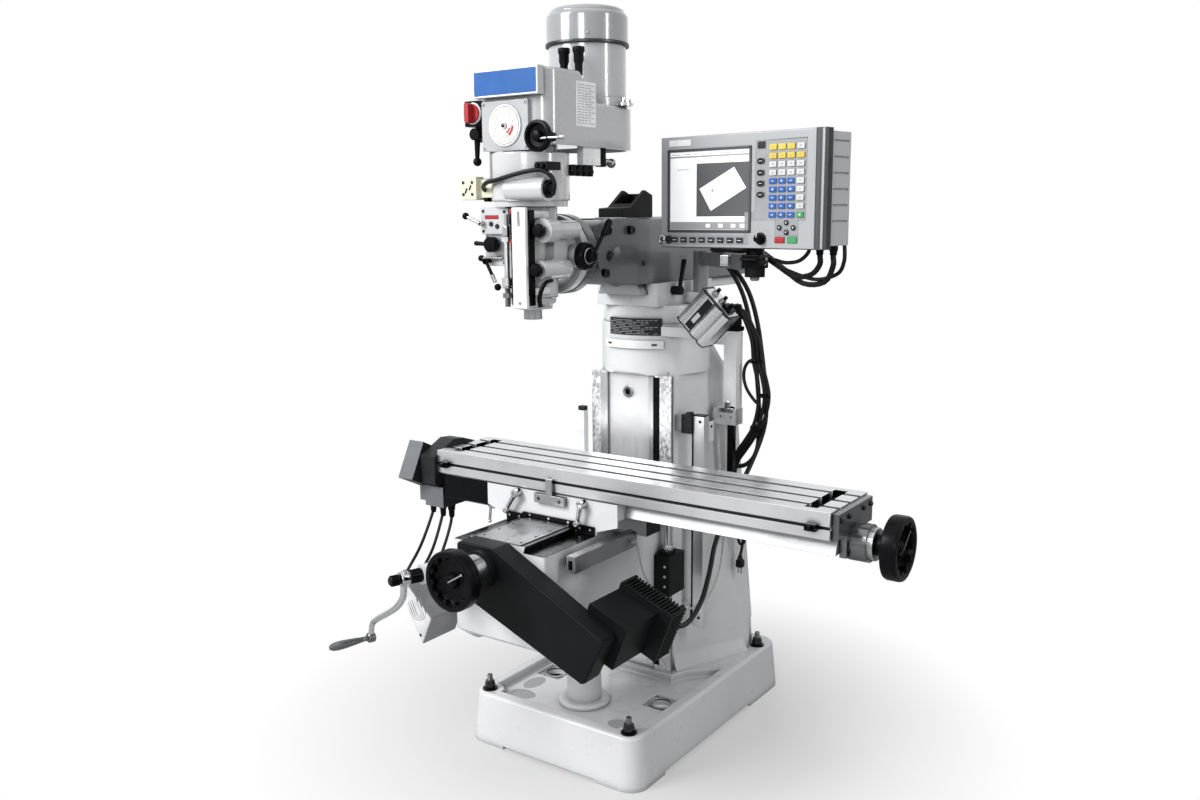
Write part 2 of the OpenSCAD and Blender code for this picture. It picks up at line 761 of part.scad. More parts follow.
// wheel with a deep rim, hub and three spokes, its axis along x
module wheel_x(r) {
  difference() {
    rod_x(r, -20, 20, 0, 0);
    rod_x(r - 14, -21, -8, 0, 0);
    rod_x(r - 14, 8, 21, 0, 0);
    for (a = [0:60:300]) rod_x(11, -22, 22, (r - 38) * cos(a), (r - 38) * sin(a));
  }
  rod_x(22, -22, 22, 0, 0);
}
module y_handwheel() {
  color(black) translate([0, -788, y_screw_z]) rotate([0, 0, 90]) wheel_x(wheel_r);
  color(steel) {
    rod_y(screw_r, -810, -92, 0, y_screw_z);
    rod_y(45, -745, -702 - gap, 0, y_screw_z);
    rod_y(26, -770, -744, 0, y_screw_z);
  }
}
motor_leads = [
  [[-485, -350, 689], [-485, -350, 670], [-487, -354, 640], [-474, -420, 560], [-430, -520, 520], [-350, -614, 536],
    [-300, -640, 546], [-280, -640, 546], [-259.8, -640, 546]],
  [[-455, -340, 679], [-455, -340, 660], [-456, -348, 625], [-440, -410, 545], [-396, -520, 502], [-346, -600, 526],
    [-300, -622, 540], [-280, -622, 540], [-260.7, -622, 540]],
  [[-425, -335, 679], [-425, -335, 660], [-426, -340, 615], [-410, -400, 540], [-370, -500, 490], [-334, -580, 518],
    [-300, -604, 534], [-280, -604, 534], [-261.6, -604, 534]]];
scale_lead = [[200.4, -300, 655], [208, -300, 655], [216, -300, 655], [228, -280, 560], [232, -200, 470],
  [232, -100, 405], [232, -10, 388], [234, 70, 400], [234, 130, 460], [233, 160, 560], [232, 174, 622],
  [232, 184, 622], [232, 191.6, 622]];
module axis_cables() {
  color(black) translate([0, 0, kz]) {
    for (p = motor_leads) cable(p, 4.5, 5, 8);
    cable(scale_lead, 3, 5, 8);
  }
}

// ---- saddle ----
module saddle() {
  color(paint) difference() {
    union() {
      translate([0, 0, kz]) prism_y([[-222, 783], [-222, 721], [-155, 700], [-155, 688.5], [-84.7, 688.5],
        [-90.7, 705.5], [-90.7, 712], [90.7, 712], [90.7, 705.5], [84.7, 688.5], [155, 688.5], [155, 700],
        [222, 721], [222, 783]], saddle_y0, saddle_y1);
      // nut lug for the cross screw
      block(-30, 30, tyc - 40, tyc + 40, y_screw_z - 22, groove_top + 1);
      // centre stop bracket on the front
      translate([0, 0, kz]) prism_y([[-44, 756], [58, 756], [58, 781], [18, 781], [18, 826], [-4, 826], [-4, 781],
        [-44, 781]], saddle_y0 - 14, ty0 - gap);
      block(-44, 58, ty0 - gap - 1, saddle_y0 + 1, 756 + kz, 781 + kz);
    }
    // slot for the table dovetail
    prism_x([[tyc - 76.9, x_screw_z - 22.5], [tyc + 76.9, x_screw_z - 22.5], [tyc + 62.9, saddle_top + 1],
      [tyc - 62.9, saddle_top + 1]], -223, 223);
    rod_x(35, 200, 223, tyc, x_screw_z);
    rod_y(screw_r + gap, tyc - 41, tyc + 41, 0, y_screw_z);
    for (x = [-28, 42]) rod_y(5, saddle_y0 - 13, saddle_y0 - 4, x, 768 + kz);
  }
  // nut for the table screw
  color(steel) difference() {
    block(-40, 40, tyc - 20, tyc + 20, x_screw_z - 24, x_screw_z + 15);
    rod_x(screw_r + gap, -41, 41, tyc, x_screw_z);
  }
}
module lock_lever(x, tip) {
  rod_y(11, saddle_y0 - 26, saddle_y0 - gap, x, 772 + kz);
  hull() {
    rod_y(7, saddle_y0 - 24, saddle_y0 - 16, x, 772 + kz);
    rod_y(5, saddle_y0 - 24, saddle_y0 - 16, x + tip, 722 + kz);
  }
  rod_y(8, saddle_y0 - 30, saddle_y0 - 12, x + tip, 720 + kz);
}
module lock_lever_left() {
  color(steel) lock_lever(-106, -31);
}
module lock_lever_right() {
  color(steel) lock_lever(117, -10);
}
module way_bellows() {
  color(black) prism_x([[saddle_y0 + 1, saddle_top - 0.2], [saddle_y0 + 1, 714 + kz], [saddle_y1 - 1, 714 + kz],
    [saddle_y1 - 1, saddle_top - 0.2], [saddle_y1 - 6, saddle_top - 0.2], [saddle_y1 - 6, 720 + kz],
    [saddle_y0 + 6, 720 + kz], [saddle_y0 + 6, saddle_top - 0.2]], tx0 + 20, -222 - gap);
}

// ---- table ----
module table() {
  color(steel) difference() {
    union() {
      block(tx0, tx1, ty0, ty1, 789 + kz, table_top);
      block(tx0, tx1, ty0 + 9, ty1 - 9, saddle_top + gap, 790 + kz);
      // dovetail rails either side of the screw
      prism_x([[tyc - 76.3, x_screw_z - 22], [tyc - 25, x_screw_z - 22], [tyc - 25, saddle_top + 1],
        [tyc - 62.3, saddle_top + 1]], tx0, tx1);
      prism_x([[tyc + 25, x_screw_z - 22], [tyc + 76.3, x_screw_z - 22], [tyc + 62.3, saddle_top + 1],
        [tyc + 25, saddle_top + 1]], tx0, tx1);
    }
    for (i = [-1, 0, 1]) {
      block(tx0 - 1, tx1 + 1, tyc + i * slot_pitch - 8, tyc + i * slot_pitch + 8, table_top - 18, table_top + 1);
      block(tx0 - 1, tx1 + 1, tyc + i * slot_pitch - 14, tyc + i * slot_pitch + 14, table_top - 29, table_top - 17);
    }
    // chip pockets at both ends
    for (x = [tx0 + 42, tx1 - 74]) block(x, x + 32, ty0 + 24, ty1 - 24, table_top - 26, table_top + 1);
    // groove for the stop dogs
    block(tx0 - 1, tx1 + 1, ty0 - 1, ty0 + 7, 813 + kz, 821 + kz);
  }
}
module stop_dogs() {
  color(steel) for (x = [tx0 + 34, tx1 - 43]) {
    block(x - 14, x + 14, ty0 - 16, ty0 - gap, 809 + kz, 826 + kz);
    block(x - 12, x + 12, ty0 - 1, ty0 + 6.6, 813.4 + kz, 820.6 + kz);
    rod_y(6, ty0 - 24, ty0 - 15, x, 817.5 + kz);
  }
}
module end_bracket() {
  color(steel) difference() {
    union() {
      block(tx1, tx1 + 18, ty0 + 12, ty1 - 12, 790 + kz, table_top - 4);
      block(tx1, tx1 + 18, tyc - 55, tyc + 55, x_screw_z - 30, 792 + kz);
      rod_x(46, tx1 + 10, tx1 + 58, tyc, x_screw_z);
      rod_x(40, tx1 + 57, tx1 + 74, tyc, x_screw_z);
    }
    rod_x(screw_r + gap, tx1 - 1, tx1 + 75, tyc, x_screw_z);
  }
}
module x_belt_cover() {
  color(black) difference() {
    translate([0, tyc + 289.7, kz]) prism_x([[-417, 752], [-417, 835], [-331, 875], [-290, 872], [-210, 846],
      [-190, 815], [-190, 765], [-215, 742], [-395, 742]], tx0 - 58, tx0);
    rod_x(screw_r + gap, tx0 - 50, tx0 + 1, tyc, x_screw_z);
  }
}
module x_motor() {
  color(black) translate([0, tyc + 289.7, kz]) union() {
    prism_x([[-400, 872], [-453, 767], [-336, 710], [-283, 815]], tx0 - 115, tx0 - 58);
    block(tx0 - 59, tx0 + 14, -400, -290, 680, 742);
    block(tx0 - 90, tx0 - 58, -390, -300, 690, 800);
  }
}
module x_handwheel() {
  color(black) translate([tx1 + 121, tyc, x_screw_z]) wheel_x(wheel_r);
  color(steel) {
    rod_x(screw_r, tx0 - 48, tx1 + 140, tyc, x_screw_z);
    rod_x(26, tx1 + 74 + gap, tx1 + 100, tyc, x_screw_z);
  }
}

// ---- control pendant ----
module at_pendant() {
  translate([pend_x, pend_y, pend_z]) rotate([0, 0, pend_turn]) children();
}
arm_len = norm([post_x - arm_x, post_y - arm_y]);
arm_turn = atan2(post_y - arm_y, post_x - arm_x);
pend_bottom = pend_z - pz;
module pendant_arm() {
  color(grey) difference() {
    union() {
      rod_z(22, tail_z0 + gap, tail_z0 + 120, arm_x, arm_y);
      translate([arm_x, arm_y, 0]) rotate([0, 0, arm_turn])
        block(0, arm_len - 10, -11, 11, tail_z0 + 80, tail_z0 + 118);
      rod_z(26, tail_z0 + 66, tail_z0 + 122, post_x, post_y);
    }
    rod_z(10 + gap, tail_z0 - 1, tail_z0 + 32, arm_x, arm_y);
    rod_z(12 + gap, tail_z0 + 60, tail_z0 + 125, post_x, post_y);
  }
}
key_w = 20;
key_h = 11;
key_rows = [103, 82, 62, 42, 22, 2, -18, -38, -59];
key_cols = [106, 132, 158, 185];
side_keys = [71, 43, 17, -10];
soft_keys = [for (i = [0:7]) -201 + 30 * i];
arrow_keys = [[147, -78], [127, -90], [167, -90], [147, -101]];
module key_pad(grow) {
  translate([54 - grow, -72 - grow]) square([146 + 2 * grow, 192 + 2 * grow]);
  translate([-216 - grow, -132 - grow]) square([240 + 2 * grow, 20 + 2 * grow]);
  translate([22 - grow, -132 - grow]) square([14 + 2 * grow, 80 + 2 * grow]);
  translate([22 - grow, -72 - grow]) square([40 + 2 * grow, 20 + 2 * grow]);
  translate([114 - grow, -109 - grow]) square([66 + 2 * grow, 45 + 2 * grow]);
}
module pendant_housing() {
  color(grey) at_pendant() difference() {
    union() {
      block(-px, px, 0, 36, -pz, pz);
      block(-px + 14, px - 8, 35, 130, -pz + 8, pz - 6);
      // stem that stands in the arm, with its flange
      rotate([0, 0, -pend_turn]) translate([post_x - pend_x, post_y - pend_y, 0]) {
        rod_z(12, tail_z0 + 64 - pend_z, -pz + 10, 0, 0);
        rod_z(24, tail_z0 + 122 + gap - pend_z, -pz + 9, 0, 0);
      }
    }
    // screen recess
    block(-221, 37, -1, 4, -98, 105);
    // recess for the key mat
    translate([0, 3, 0]) rotate([90, 0, 0]) linear_extrude(4) key_pad(0.3);
    // holes for the knob and the two run keys
    rod_y(5 + gap / 2, -1, 14, 73, -117);
    for (x = [128, 164]) block(x - 14.4, x + 14.4, -1, 9, -127.4, -112.6);
    // cooling slots on the right end
    for (i = [-2:3]) block(px - 12, px + 1, 52, 122, i * 38 - 2, i * 38 + 2);
  }
}
module keypad() {
  color(grey) at_pendant() union() {
    translate([0, 3, 0]) rotate([90, 0, 0]) linear_extrude(2.4) key_pad(0);
    for (z = key_rows, x = key_cols) block(x - key_w / 2, x + key_w / 2, -1.6, 2, z - key_h / 2 - 1, z + key_h / 2 + 1);
    for (z = side_keys) block(60, 80, -1.6, 2, z - 7, z + 7);
    block(60, 82, -1.6, 2, 101, 118);
    for (x = soft_keys) block(x - 10, x + 10, -1.6, 2, -129, -115);
    for (p = arrow_keys) rod_y(6.5, -1.6, 2, p[0], p[1]);
  }
}
module override_knob() {
  color(black) at_pendant() {
    rod_y(5, -3, 12, 73, -117);
    rod_y(19, -6, -gap, 73, -117);
    rod_y(13, -20, -5, 73, -117);
  }
}
module run_key(x) {
  at_pendant() block(x - 14, x + 14, -2.5, 6, -127, -113);
}
module start_key() {
  color([0.2, 0.6, 0.3]) run_key(164);
}
module stop_key() {
  color(red) run_key(128);
}
pendant_leads = [
  [[640, -112, 1447.6], [640, -112, 1424], [640, -112, 1400], [612, -100, 1374], [560, -88, 1368], [508, -78, 1394],
    [444, -78, 1430], [380, -44, 1429], [300, 24, 1429], [222, 92, 1428], [200, 160, 1414], [208, 220, 1366],
    [232, 252, 1300], [254, 262, 1220], [272, 264, 1120], [288, 262, 1000], [294, 262, 900], [280, 276, 810],
    [240, 292, 760], [194.6, 300, 744]],
  [[676, -114, 1447.6], [676, -114, 1422], [676, -114, 1396], [646, -94, 1356], [580, -76, 1350], [512, -58, 1388],
    [446, -56, 1430], [392, -28, 1429], [316, 38, 1429], [238, 106, 1428], [216, 170, 1410], [224, 232, 1360],
    [248, 268, 1296], [270, 280, 1216], [288, 282, 1116], [304, 280, 1000], [310, 270, 900], [296, 226, 800],
    [286, 130, 700], [290, 10, 600], [312, -70, 524], [332, -150, 468], [346, -250, 440], [348, -340, 460],
    [348, -372, 486], [348, -390, 486], [348, -407.7, 486]]];
module pendant_cables() {
  color(black) translate([0, 0, up]) {
    cable(pendant_leads[0], 7, 4, 10);
    cable(pendant_leads[1], 7, 4, 10);
  }
}

base_casting();
column_casting();
leveling_bolts();
screw_pedestal();
z_scale_bar();
cable_duct();
drive_enclosure();
plug_cord();
turret();
ram_lock_lever();
ram();
ram_bracket();
nod_bolts();
head_adapter();
head_casting();
gear_housing();
belt_housing();
motor_body();
motor_cap();
speed_dial();
feed_gearbox();
switch_box();
quill_scales();
head_knobs();
motor_rotor();
quill();
spindle();
quill_handle();
speed_handwheel();
brake_lever();
drum_switch();
feed_lever();
feed_knob();
trip_lever();
knee_casting();
y_belt_cover();
y_motor();
junction_box();
y_scale_bar();
knee_screw();
knee_crank();
y_handwheel();
axis_cables();
saddle();
lock_lever_left();
lock_lever_right();
way_bellows();
table();
end_bracket();
x_belt_cover();
x_motor();
stop_dogs();
x_handwheel();
pendant_arm();
pendant_housing();
keypad();
override_knob();
start_key();
stop_key();
pendant_cables();
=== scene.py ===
import json
import math
from contextlib import contextmanager

import bmesh
import bpy
from mathutils import Matrix, Vector


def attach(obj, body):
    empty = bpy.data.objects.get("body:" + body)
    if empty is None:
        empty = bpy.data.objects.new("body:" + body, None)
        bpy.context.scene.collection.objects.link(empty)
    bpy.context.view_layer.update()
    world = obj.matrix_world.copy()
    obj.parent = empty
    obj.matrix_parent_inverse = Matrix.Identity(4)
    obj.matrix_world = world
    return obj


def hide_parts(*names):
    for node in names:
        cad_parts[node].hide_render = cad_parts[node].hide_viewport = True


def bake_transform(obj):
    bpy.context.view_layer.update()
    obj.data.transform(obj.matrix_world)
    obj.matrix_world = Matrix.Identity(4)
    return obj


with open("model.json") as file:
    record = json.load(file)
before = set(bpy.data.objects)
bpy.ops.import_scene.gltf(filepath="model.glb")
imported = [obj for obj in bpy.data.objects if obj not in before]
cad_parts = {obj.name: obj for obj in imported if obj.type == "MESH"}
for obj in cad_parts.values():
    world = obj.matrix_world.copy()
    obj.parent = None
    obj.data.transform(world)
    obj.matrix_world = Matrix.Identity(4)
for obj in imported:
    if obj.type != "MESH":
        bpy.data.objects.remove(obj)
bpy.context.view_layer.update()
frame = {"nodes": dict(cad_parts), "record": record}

nodes = frame["nodes"]
home = {n: b for b, members in frame["record"]["behaviour"]["bodies"].items() for n in members}

MM = 0.001
RIGHT, BACK, UP = (Vector(v) for v in ((1, 0, 0), (0, 1, 0), (0, 0, 1)))
LEFT, FRONT, DOWN = -RIGHT, -BACK, -UP
SIDES = (-1, 1)
CREASE = math.radians(38)                          # sharper edges stay sharp in the shading
ROUNDED_OVER, EASED_OVER, BEVELLED_OVER = 0.45, 0.5, 0.6     # radians that an edge turns before it is eased
WELD = 0.01                                        # millimetres within which corners are one

# ---- main axes of the machine, in millimetres ----
COLUMN_Y = 145       # round neck of the column and the turret
MOTOR_Y = -205       # drive motor on the belt housing
QUILL_Y = -457       # quill and spindle
TILT_Z = 1425        # head nod and roll axes
DIAL = (-10, 0, 1745)
TABLE_Y = -289.7     # middle of the table and its screw
TABLE_SCREW_Z = 764
CROSS_SCREW_Z = 650
CRANK = Matrix.Translation((0, -255, 622)) @ Matrix.Rotation(math.radians(-107.56), 4, "Z")
PENDANT = Matrix.Translation((450, -193, 1582.5)) @ Matrix.Rotation(math.radians(-8.2), 4, "Z")
DRIVE = Matrix.Translation((252, 0, 1240)) @ Matrix.Rotation(math.radians(45), 4, "Y")

# ---- camera ----
CAMERA_SPOT = (1.738, -2.6256, 1.5268)
CAMERA_TURN, CAMERA_TIP, CAMERA_ROLL = (math.radians(a) for a in (35.17, 9.81, -0.46))
SENSOR_WIDTH, LENS = 36, 32.13


def place_camera():
    level = math.cos(CAMERA_TIP)
    ahead = Vector((-math.sin(CAMERA_TURN) * level, math.cos(CAMERA_TURN) * level, -math.sin(CAMERA_TIP)))
    side = Vector((math.cos(CAMERA_TURN), math.sin(CAMERA_TURN), 0))
    top = side.cross(ahead)
    right = side * math.cos(CAMERA_ROLL) + top * math.sin(CAMERA_ROLL)
    over = top * math.cos(CAMERA_ROLL) - side * math.sin(CAMERA_ROLL)
    camera = bpy.data.objects.new("camera", bpy.data.cameras.new("camera"))
    camera.data.sensor_width = SENSOR_WIDTH
    camera.data.lens = LENS
    camera.data.clip_end = 60
    bpy.context.scene.collection.objects.link(camera)
    facing = Matrix((right, over, -ahead)).transposed().to_4x4()
    camera.matrix_world = Matrix.Translation(CAMERA_SPOT) @ facing
    bpy.context.scene.camera = camera


place_camera()


# ---- finishes: shared pieces of the node trees ----
def feed(tree, node, feeds):
    """Sets a node's inputs: a socket is linked, anything else is its value."""
    for label, value in feeds.items():
        if isinstance(value, bpy.types.NodeSocket):
            tree.links.new(value, node.inputs[label])
        else:
            node.inputs[label].default_value = value


def add(tree, kind, feeds, **settings):
    node = tree.nodes.new(kind)
    for label, value in settings.items():
        setattr(node, label, value)
    feed(tree, node, feeds)
    return node


def blank(name, metal=0.0, rough=0.4):
    paint = bpy.data.materials.new(name)
    paint.use_nodes = True
    shader = paint.node_tree.nodes["Principled BSDF"]
    feed(paint.node_tree, shader, {"Metallic": metal, "Roughness": rough})
    return paint, paint.node_tree, shader


def spot_on(tree):
    """Where a point lies on the machine, which every pattern reads."""
    return tree.nodes.new("ShaderNodeTexCoord").outputs["Object"]


def mapped(tree, stretch, turn):
    feeds = {"Vector": spot_on(tree), "Rotation": turn, "Scale": stretch}
    return add(tree, "ShaderNodeMapping", feeds).outputs["Vector"]


def grain(tree, scale, stretch=(1, 1, 1), detail=3.0, turn=(0, 0, 0), roughness=0.5):
    feeds = {"Vector": mapped(tree, stretch, turn), "Scale": scale, "Detail": detail,
             "Roughness": roughness}
    return add(tree, "ShaderNodeTexNoise", feeds).outputs["Fac"]


def cells(tree, scale, stretch, turn):
    return add(tree, "ShaderNodeTexVoronoi", {"Vector": mapped(tree, stretch, turn), "Scale": scale})


def ripples(tree, axis, per_metre):
    bands_at_one = 3.183     # in a metre, at a scale of 1
    feeds = {"Vector": spot_on(tree), "Scale": per_metre / bands_at_one, "Distortion": 0.0}
    return add(tree, "ShaderNodeTexWave", feeds, bands_direction=axis).outputs["Fac"]


def tones(tree, value, stops):
    ramp = add(tree, "ShaderNodeValToRGB", {"Fac": value})
    band = ramp.color_ramp
    while len(band.elements) < len(stops):
        band.elements.new(0.5)
    for element, (spot, colour) in zip(band.elements, stops):
        element.position = spot
        element.color = (*colour, 1)
    return ramp.outputs["Color"]


def spread(tree, value, low, high, start=0.3, stop=0.7):
    feeds = {"Value": value, "From Min": start, "From Max": stop, "To Min": low, "To Max": high}
    return add(tree, "ShaderNodeMapRange", feeds).outputs["Result"]


def relief(tree, shader, layers):
    """Bumps laid over each other, each a pattern with its depth in metres and its strength."""
    for height, distance, strength in layers:
        bump = add(tree, "ShaderNodeBump", {"Height": height, "Distance": distance, "Strength": strength})
        if shader.inputs["Normal"].links:
            feed(tree, bump, {"Normal": shader.inputs["Normal"].links[0].from_socket})
        feed(tree, shader, {"Normal": bump.outputs["Normal"]})


def painted_crevice_shade(tree, shader, deepest, reach=0.03):
    """Painted shade: darkens a finish's colour in the corners where parts meet, by how closed in each spot
    is.
    """
    painted = shader.inputs["Base Color"].links[0].from_socket
    nook = add(tree, "ShaderNodeAmbientOcclusion", {"Distance": reach}, samples=5)
    feeds = {0: 1.0, 6: painted, 7: spread(tree, nook.outputs["AO"], deepest, 1.0, 0.3, 0.9)}
    mixed = add(tree, "ShaderNodeMix", feeds, data_type="RGBA", blend_type="MULTIPLY")
    feed(tree, shader, {"Base Color": mixed.outputs[2]})


def tinted(tree, value, colour, stops):
    """A pattern in darker and lighter shades of one colour."""
    return tones(tree, value, [(spot, tuple(min(1.0, c * by) for c in colour)) for spot, by in stops])


# ---- finishes of this machine ----
def enamel(name, colour, rough=0.3, cast=0.5, coat=0.35):
    """Sprayed machine enamel over a cast or pressed part."""
    paint, tree, shader = blank(name)
    feed(tree, shader, {
        "Base Color": tinted(tree, grain(tree, 3.0, detail=4), colour,
                             ((0.25, 0.93), (0.55, 1), (0.85, 1.05))),
        "Roughness": spread(tree, grain(tree, 11.0, detail=5), rough - 0.06, rough + 0.08),
        "Coat Weight": coat, "Coat Roughness": 0.09})
    relief(tree, shader, [(grain(tree, 16.0), 0.004, 0.10 * cast),
                          (grain(tree, 420.0, detail=2), 0.0006, 0.16)])
    # painted shade in the corners and hollows of the part
    painted_crevice_shade(tree, shader, 0.38 if cast > 0.2 else 0.6)
    return paint


def powder(name, colour, rough=0.5, shine=0.5):
    """Fine textured powder coat on sheet metal and small castings."""
    paint, tree, shader = blank(name)
    speck = grain(tree, 1300.0, detail=2)
    feed(tree, shader, {
        "Base Color": tinted(tree, grain(tree, 9.0, detail=5), colour, ((0.3, 0.82), (0.7, 1.18))),
        "Roughness": spread(tree, speck, rough - 0.08, rough + 0.1), "Specular IOR Level": shine})
    relief(tree, shader, [(speck, 0.0005, 0.35)])
    return paint


def moulded(name, colour, rough=0.32, shine=0.5):
    """Moulded plastic with a faint skin and handling marks."""
    paint, tree, shader = blank(name)
    marks = grain(tree, 60.0, stretch=(1, 1, 0.3), detail=6, roughness=0.7)
    feed(tree, shader, {
        "Base Color": tinted(tree, grain(tree, 24.0), colour, ((0.3, 0.9), (0.7, 1.1))),
        "Roughness": spread(tree, marks, rough - 0.05, rough + 0.12), "Specular IOR Level": shine})
    relief(tree, shader, [(grain(tree, 700.0, detail=2), 0.0004, 0.15)])
    return paint


def ground(name, colour, lines=(4, 500, 500), rough=0.26, relief_by=0.3):
    """Ground or turned steel, its fine lines running one way."""
    paint, tree, shader = blank(name, metal=1.0)
    fine = grain(tree, 1.0, stretch=lines, detail=6, roughness=0.75)
    feed(tree, shader, {
        "Base Color": tinted(tree, grain(tree, 7.0, detail=5), colour,
                             ((0.3, 0.86), (0.6, 1), (0.8, 1.05))),
        "Roughness": spread(tree, fine, rough - 0.09, rough + 0.12, 0.25, 0.75)})
    relief(tree, shader, [(fine, 0.0003, relief_by)])
    # painted shade in the corners and hollows of the part
    painted_crevice_shade(tree, shader, 0.25, 0.02)
    return paint


def flaked(name, colour):
    """Hand scraped bearing strip: small crossed cuts catch the light one by one."""
    paint, tree, shader = blank(name, metal=1.0)
    cut = cells(tree, 210.0, stretch=(1, 1, 0.6), turn=(0, 0.6, 0))
    stops = [(spot, tuple(c + more for c in colour))
             for spot, more in ((0.15, -0.2), (0.5, 0.0), (0.9, 0.2))]
    feed(tree, shader, {"Base Color": tones(tree, cut.outputs["Color"], stops),
                        "Roughness": spread(tree, cut.outputs["Color"], 0.28, 0.5, 0.2, 0.8)})
    relief(tree, shader, [(cut.outputs["Distance"], 0.0006, 0.3),
                          (grain(tree, 300.0, detail=4), 0.0004, 0.3)])
    return paint


def threaded(name, colour, per_metre):
    """Rolled or turned thread on a bolt or screw."""
    paint, tree, shader = blank(name, metal=1.0)
    turns = ripples(tree, "Z", per_metre)
    # the colour runs in dark and light bands, dark in the thread's grooves: painted shade over the bump
    feed(tree, shader, {"Base Color": tinted(tree, turns, colour, ((0.1, 0.35), (0.6, 1))),
                        "Roughness": spread(tree, grain(tree, 90.0, detail=4), 0.28, 0.5)})
    relief(tree, shader, [(turns, 0.0012, 0.8)])
    return paint


def plated(name, colour, rough):
    """Polished chrome plate with faint polishing haze."""
    paint, tree, shader = blank(name, metal=1.0)
    haze = grain(tree, 35.0, detail=6)
    feed(tree, shader, {"Base Color": tinted(tree, haze, colour, ((0.3, 0.94), (0.7, 1))),
                        "Roughness": spread(tree, haze, rough - 0.04, rough + 0.1)})
    relief(tree, shader, [(grain(tree, 120.0), 0.0003, 0.12)])
    return paint


def jacket(name, colour, rough=0.42, shine=0.5):
    """Rubber or vinyl cable jacket."""
    paint, tree, shader = blank(name)
    scuff = grain(tree, 85.0, detail=6, roughness=0.7)
    feed(tree, shader, {
        "Base Color": tinted(tree, scuff, colour, ((0.3, 0.75), (0.7, 1.3))),
        "Roughness": spread(tree, scuff, rough - 0.1, rough + 0.14), "Specular IOR Level": shine})
    relief(tree, shader, [(grain(tree, 420.0), 0.0004, 0.3)])
    return paint


def display(name, colour, glow):
    """A lit area of the screen behind its smooth cover."""
    paint, tree, shader = blank(name)
    lit = tinted(tree, ripples(tree, "Z", 900.0), colour, ((0.0, 0.97), (1.0, 1)))
    feed(tree, shader, {"Base Color": lit, "Emission Color": lit, "Emission Strength": glow,
                        "Roughness": spread(tree, grain(tree, 30.0), 0.18, 0.26)})
    return paint


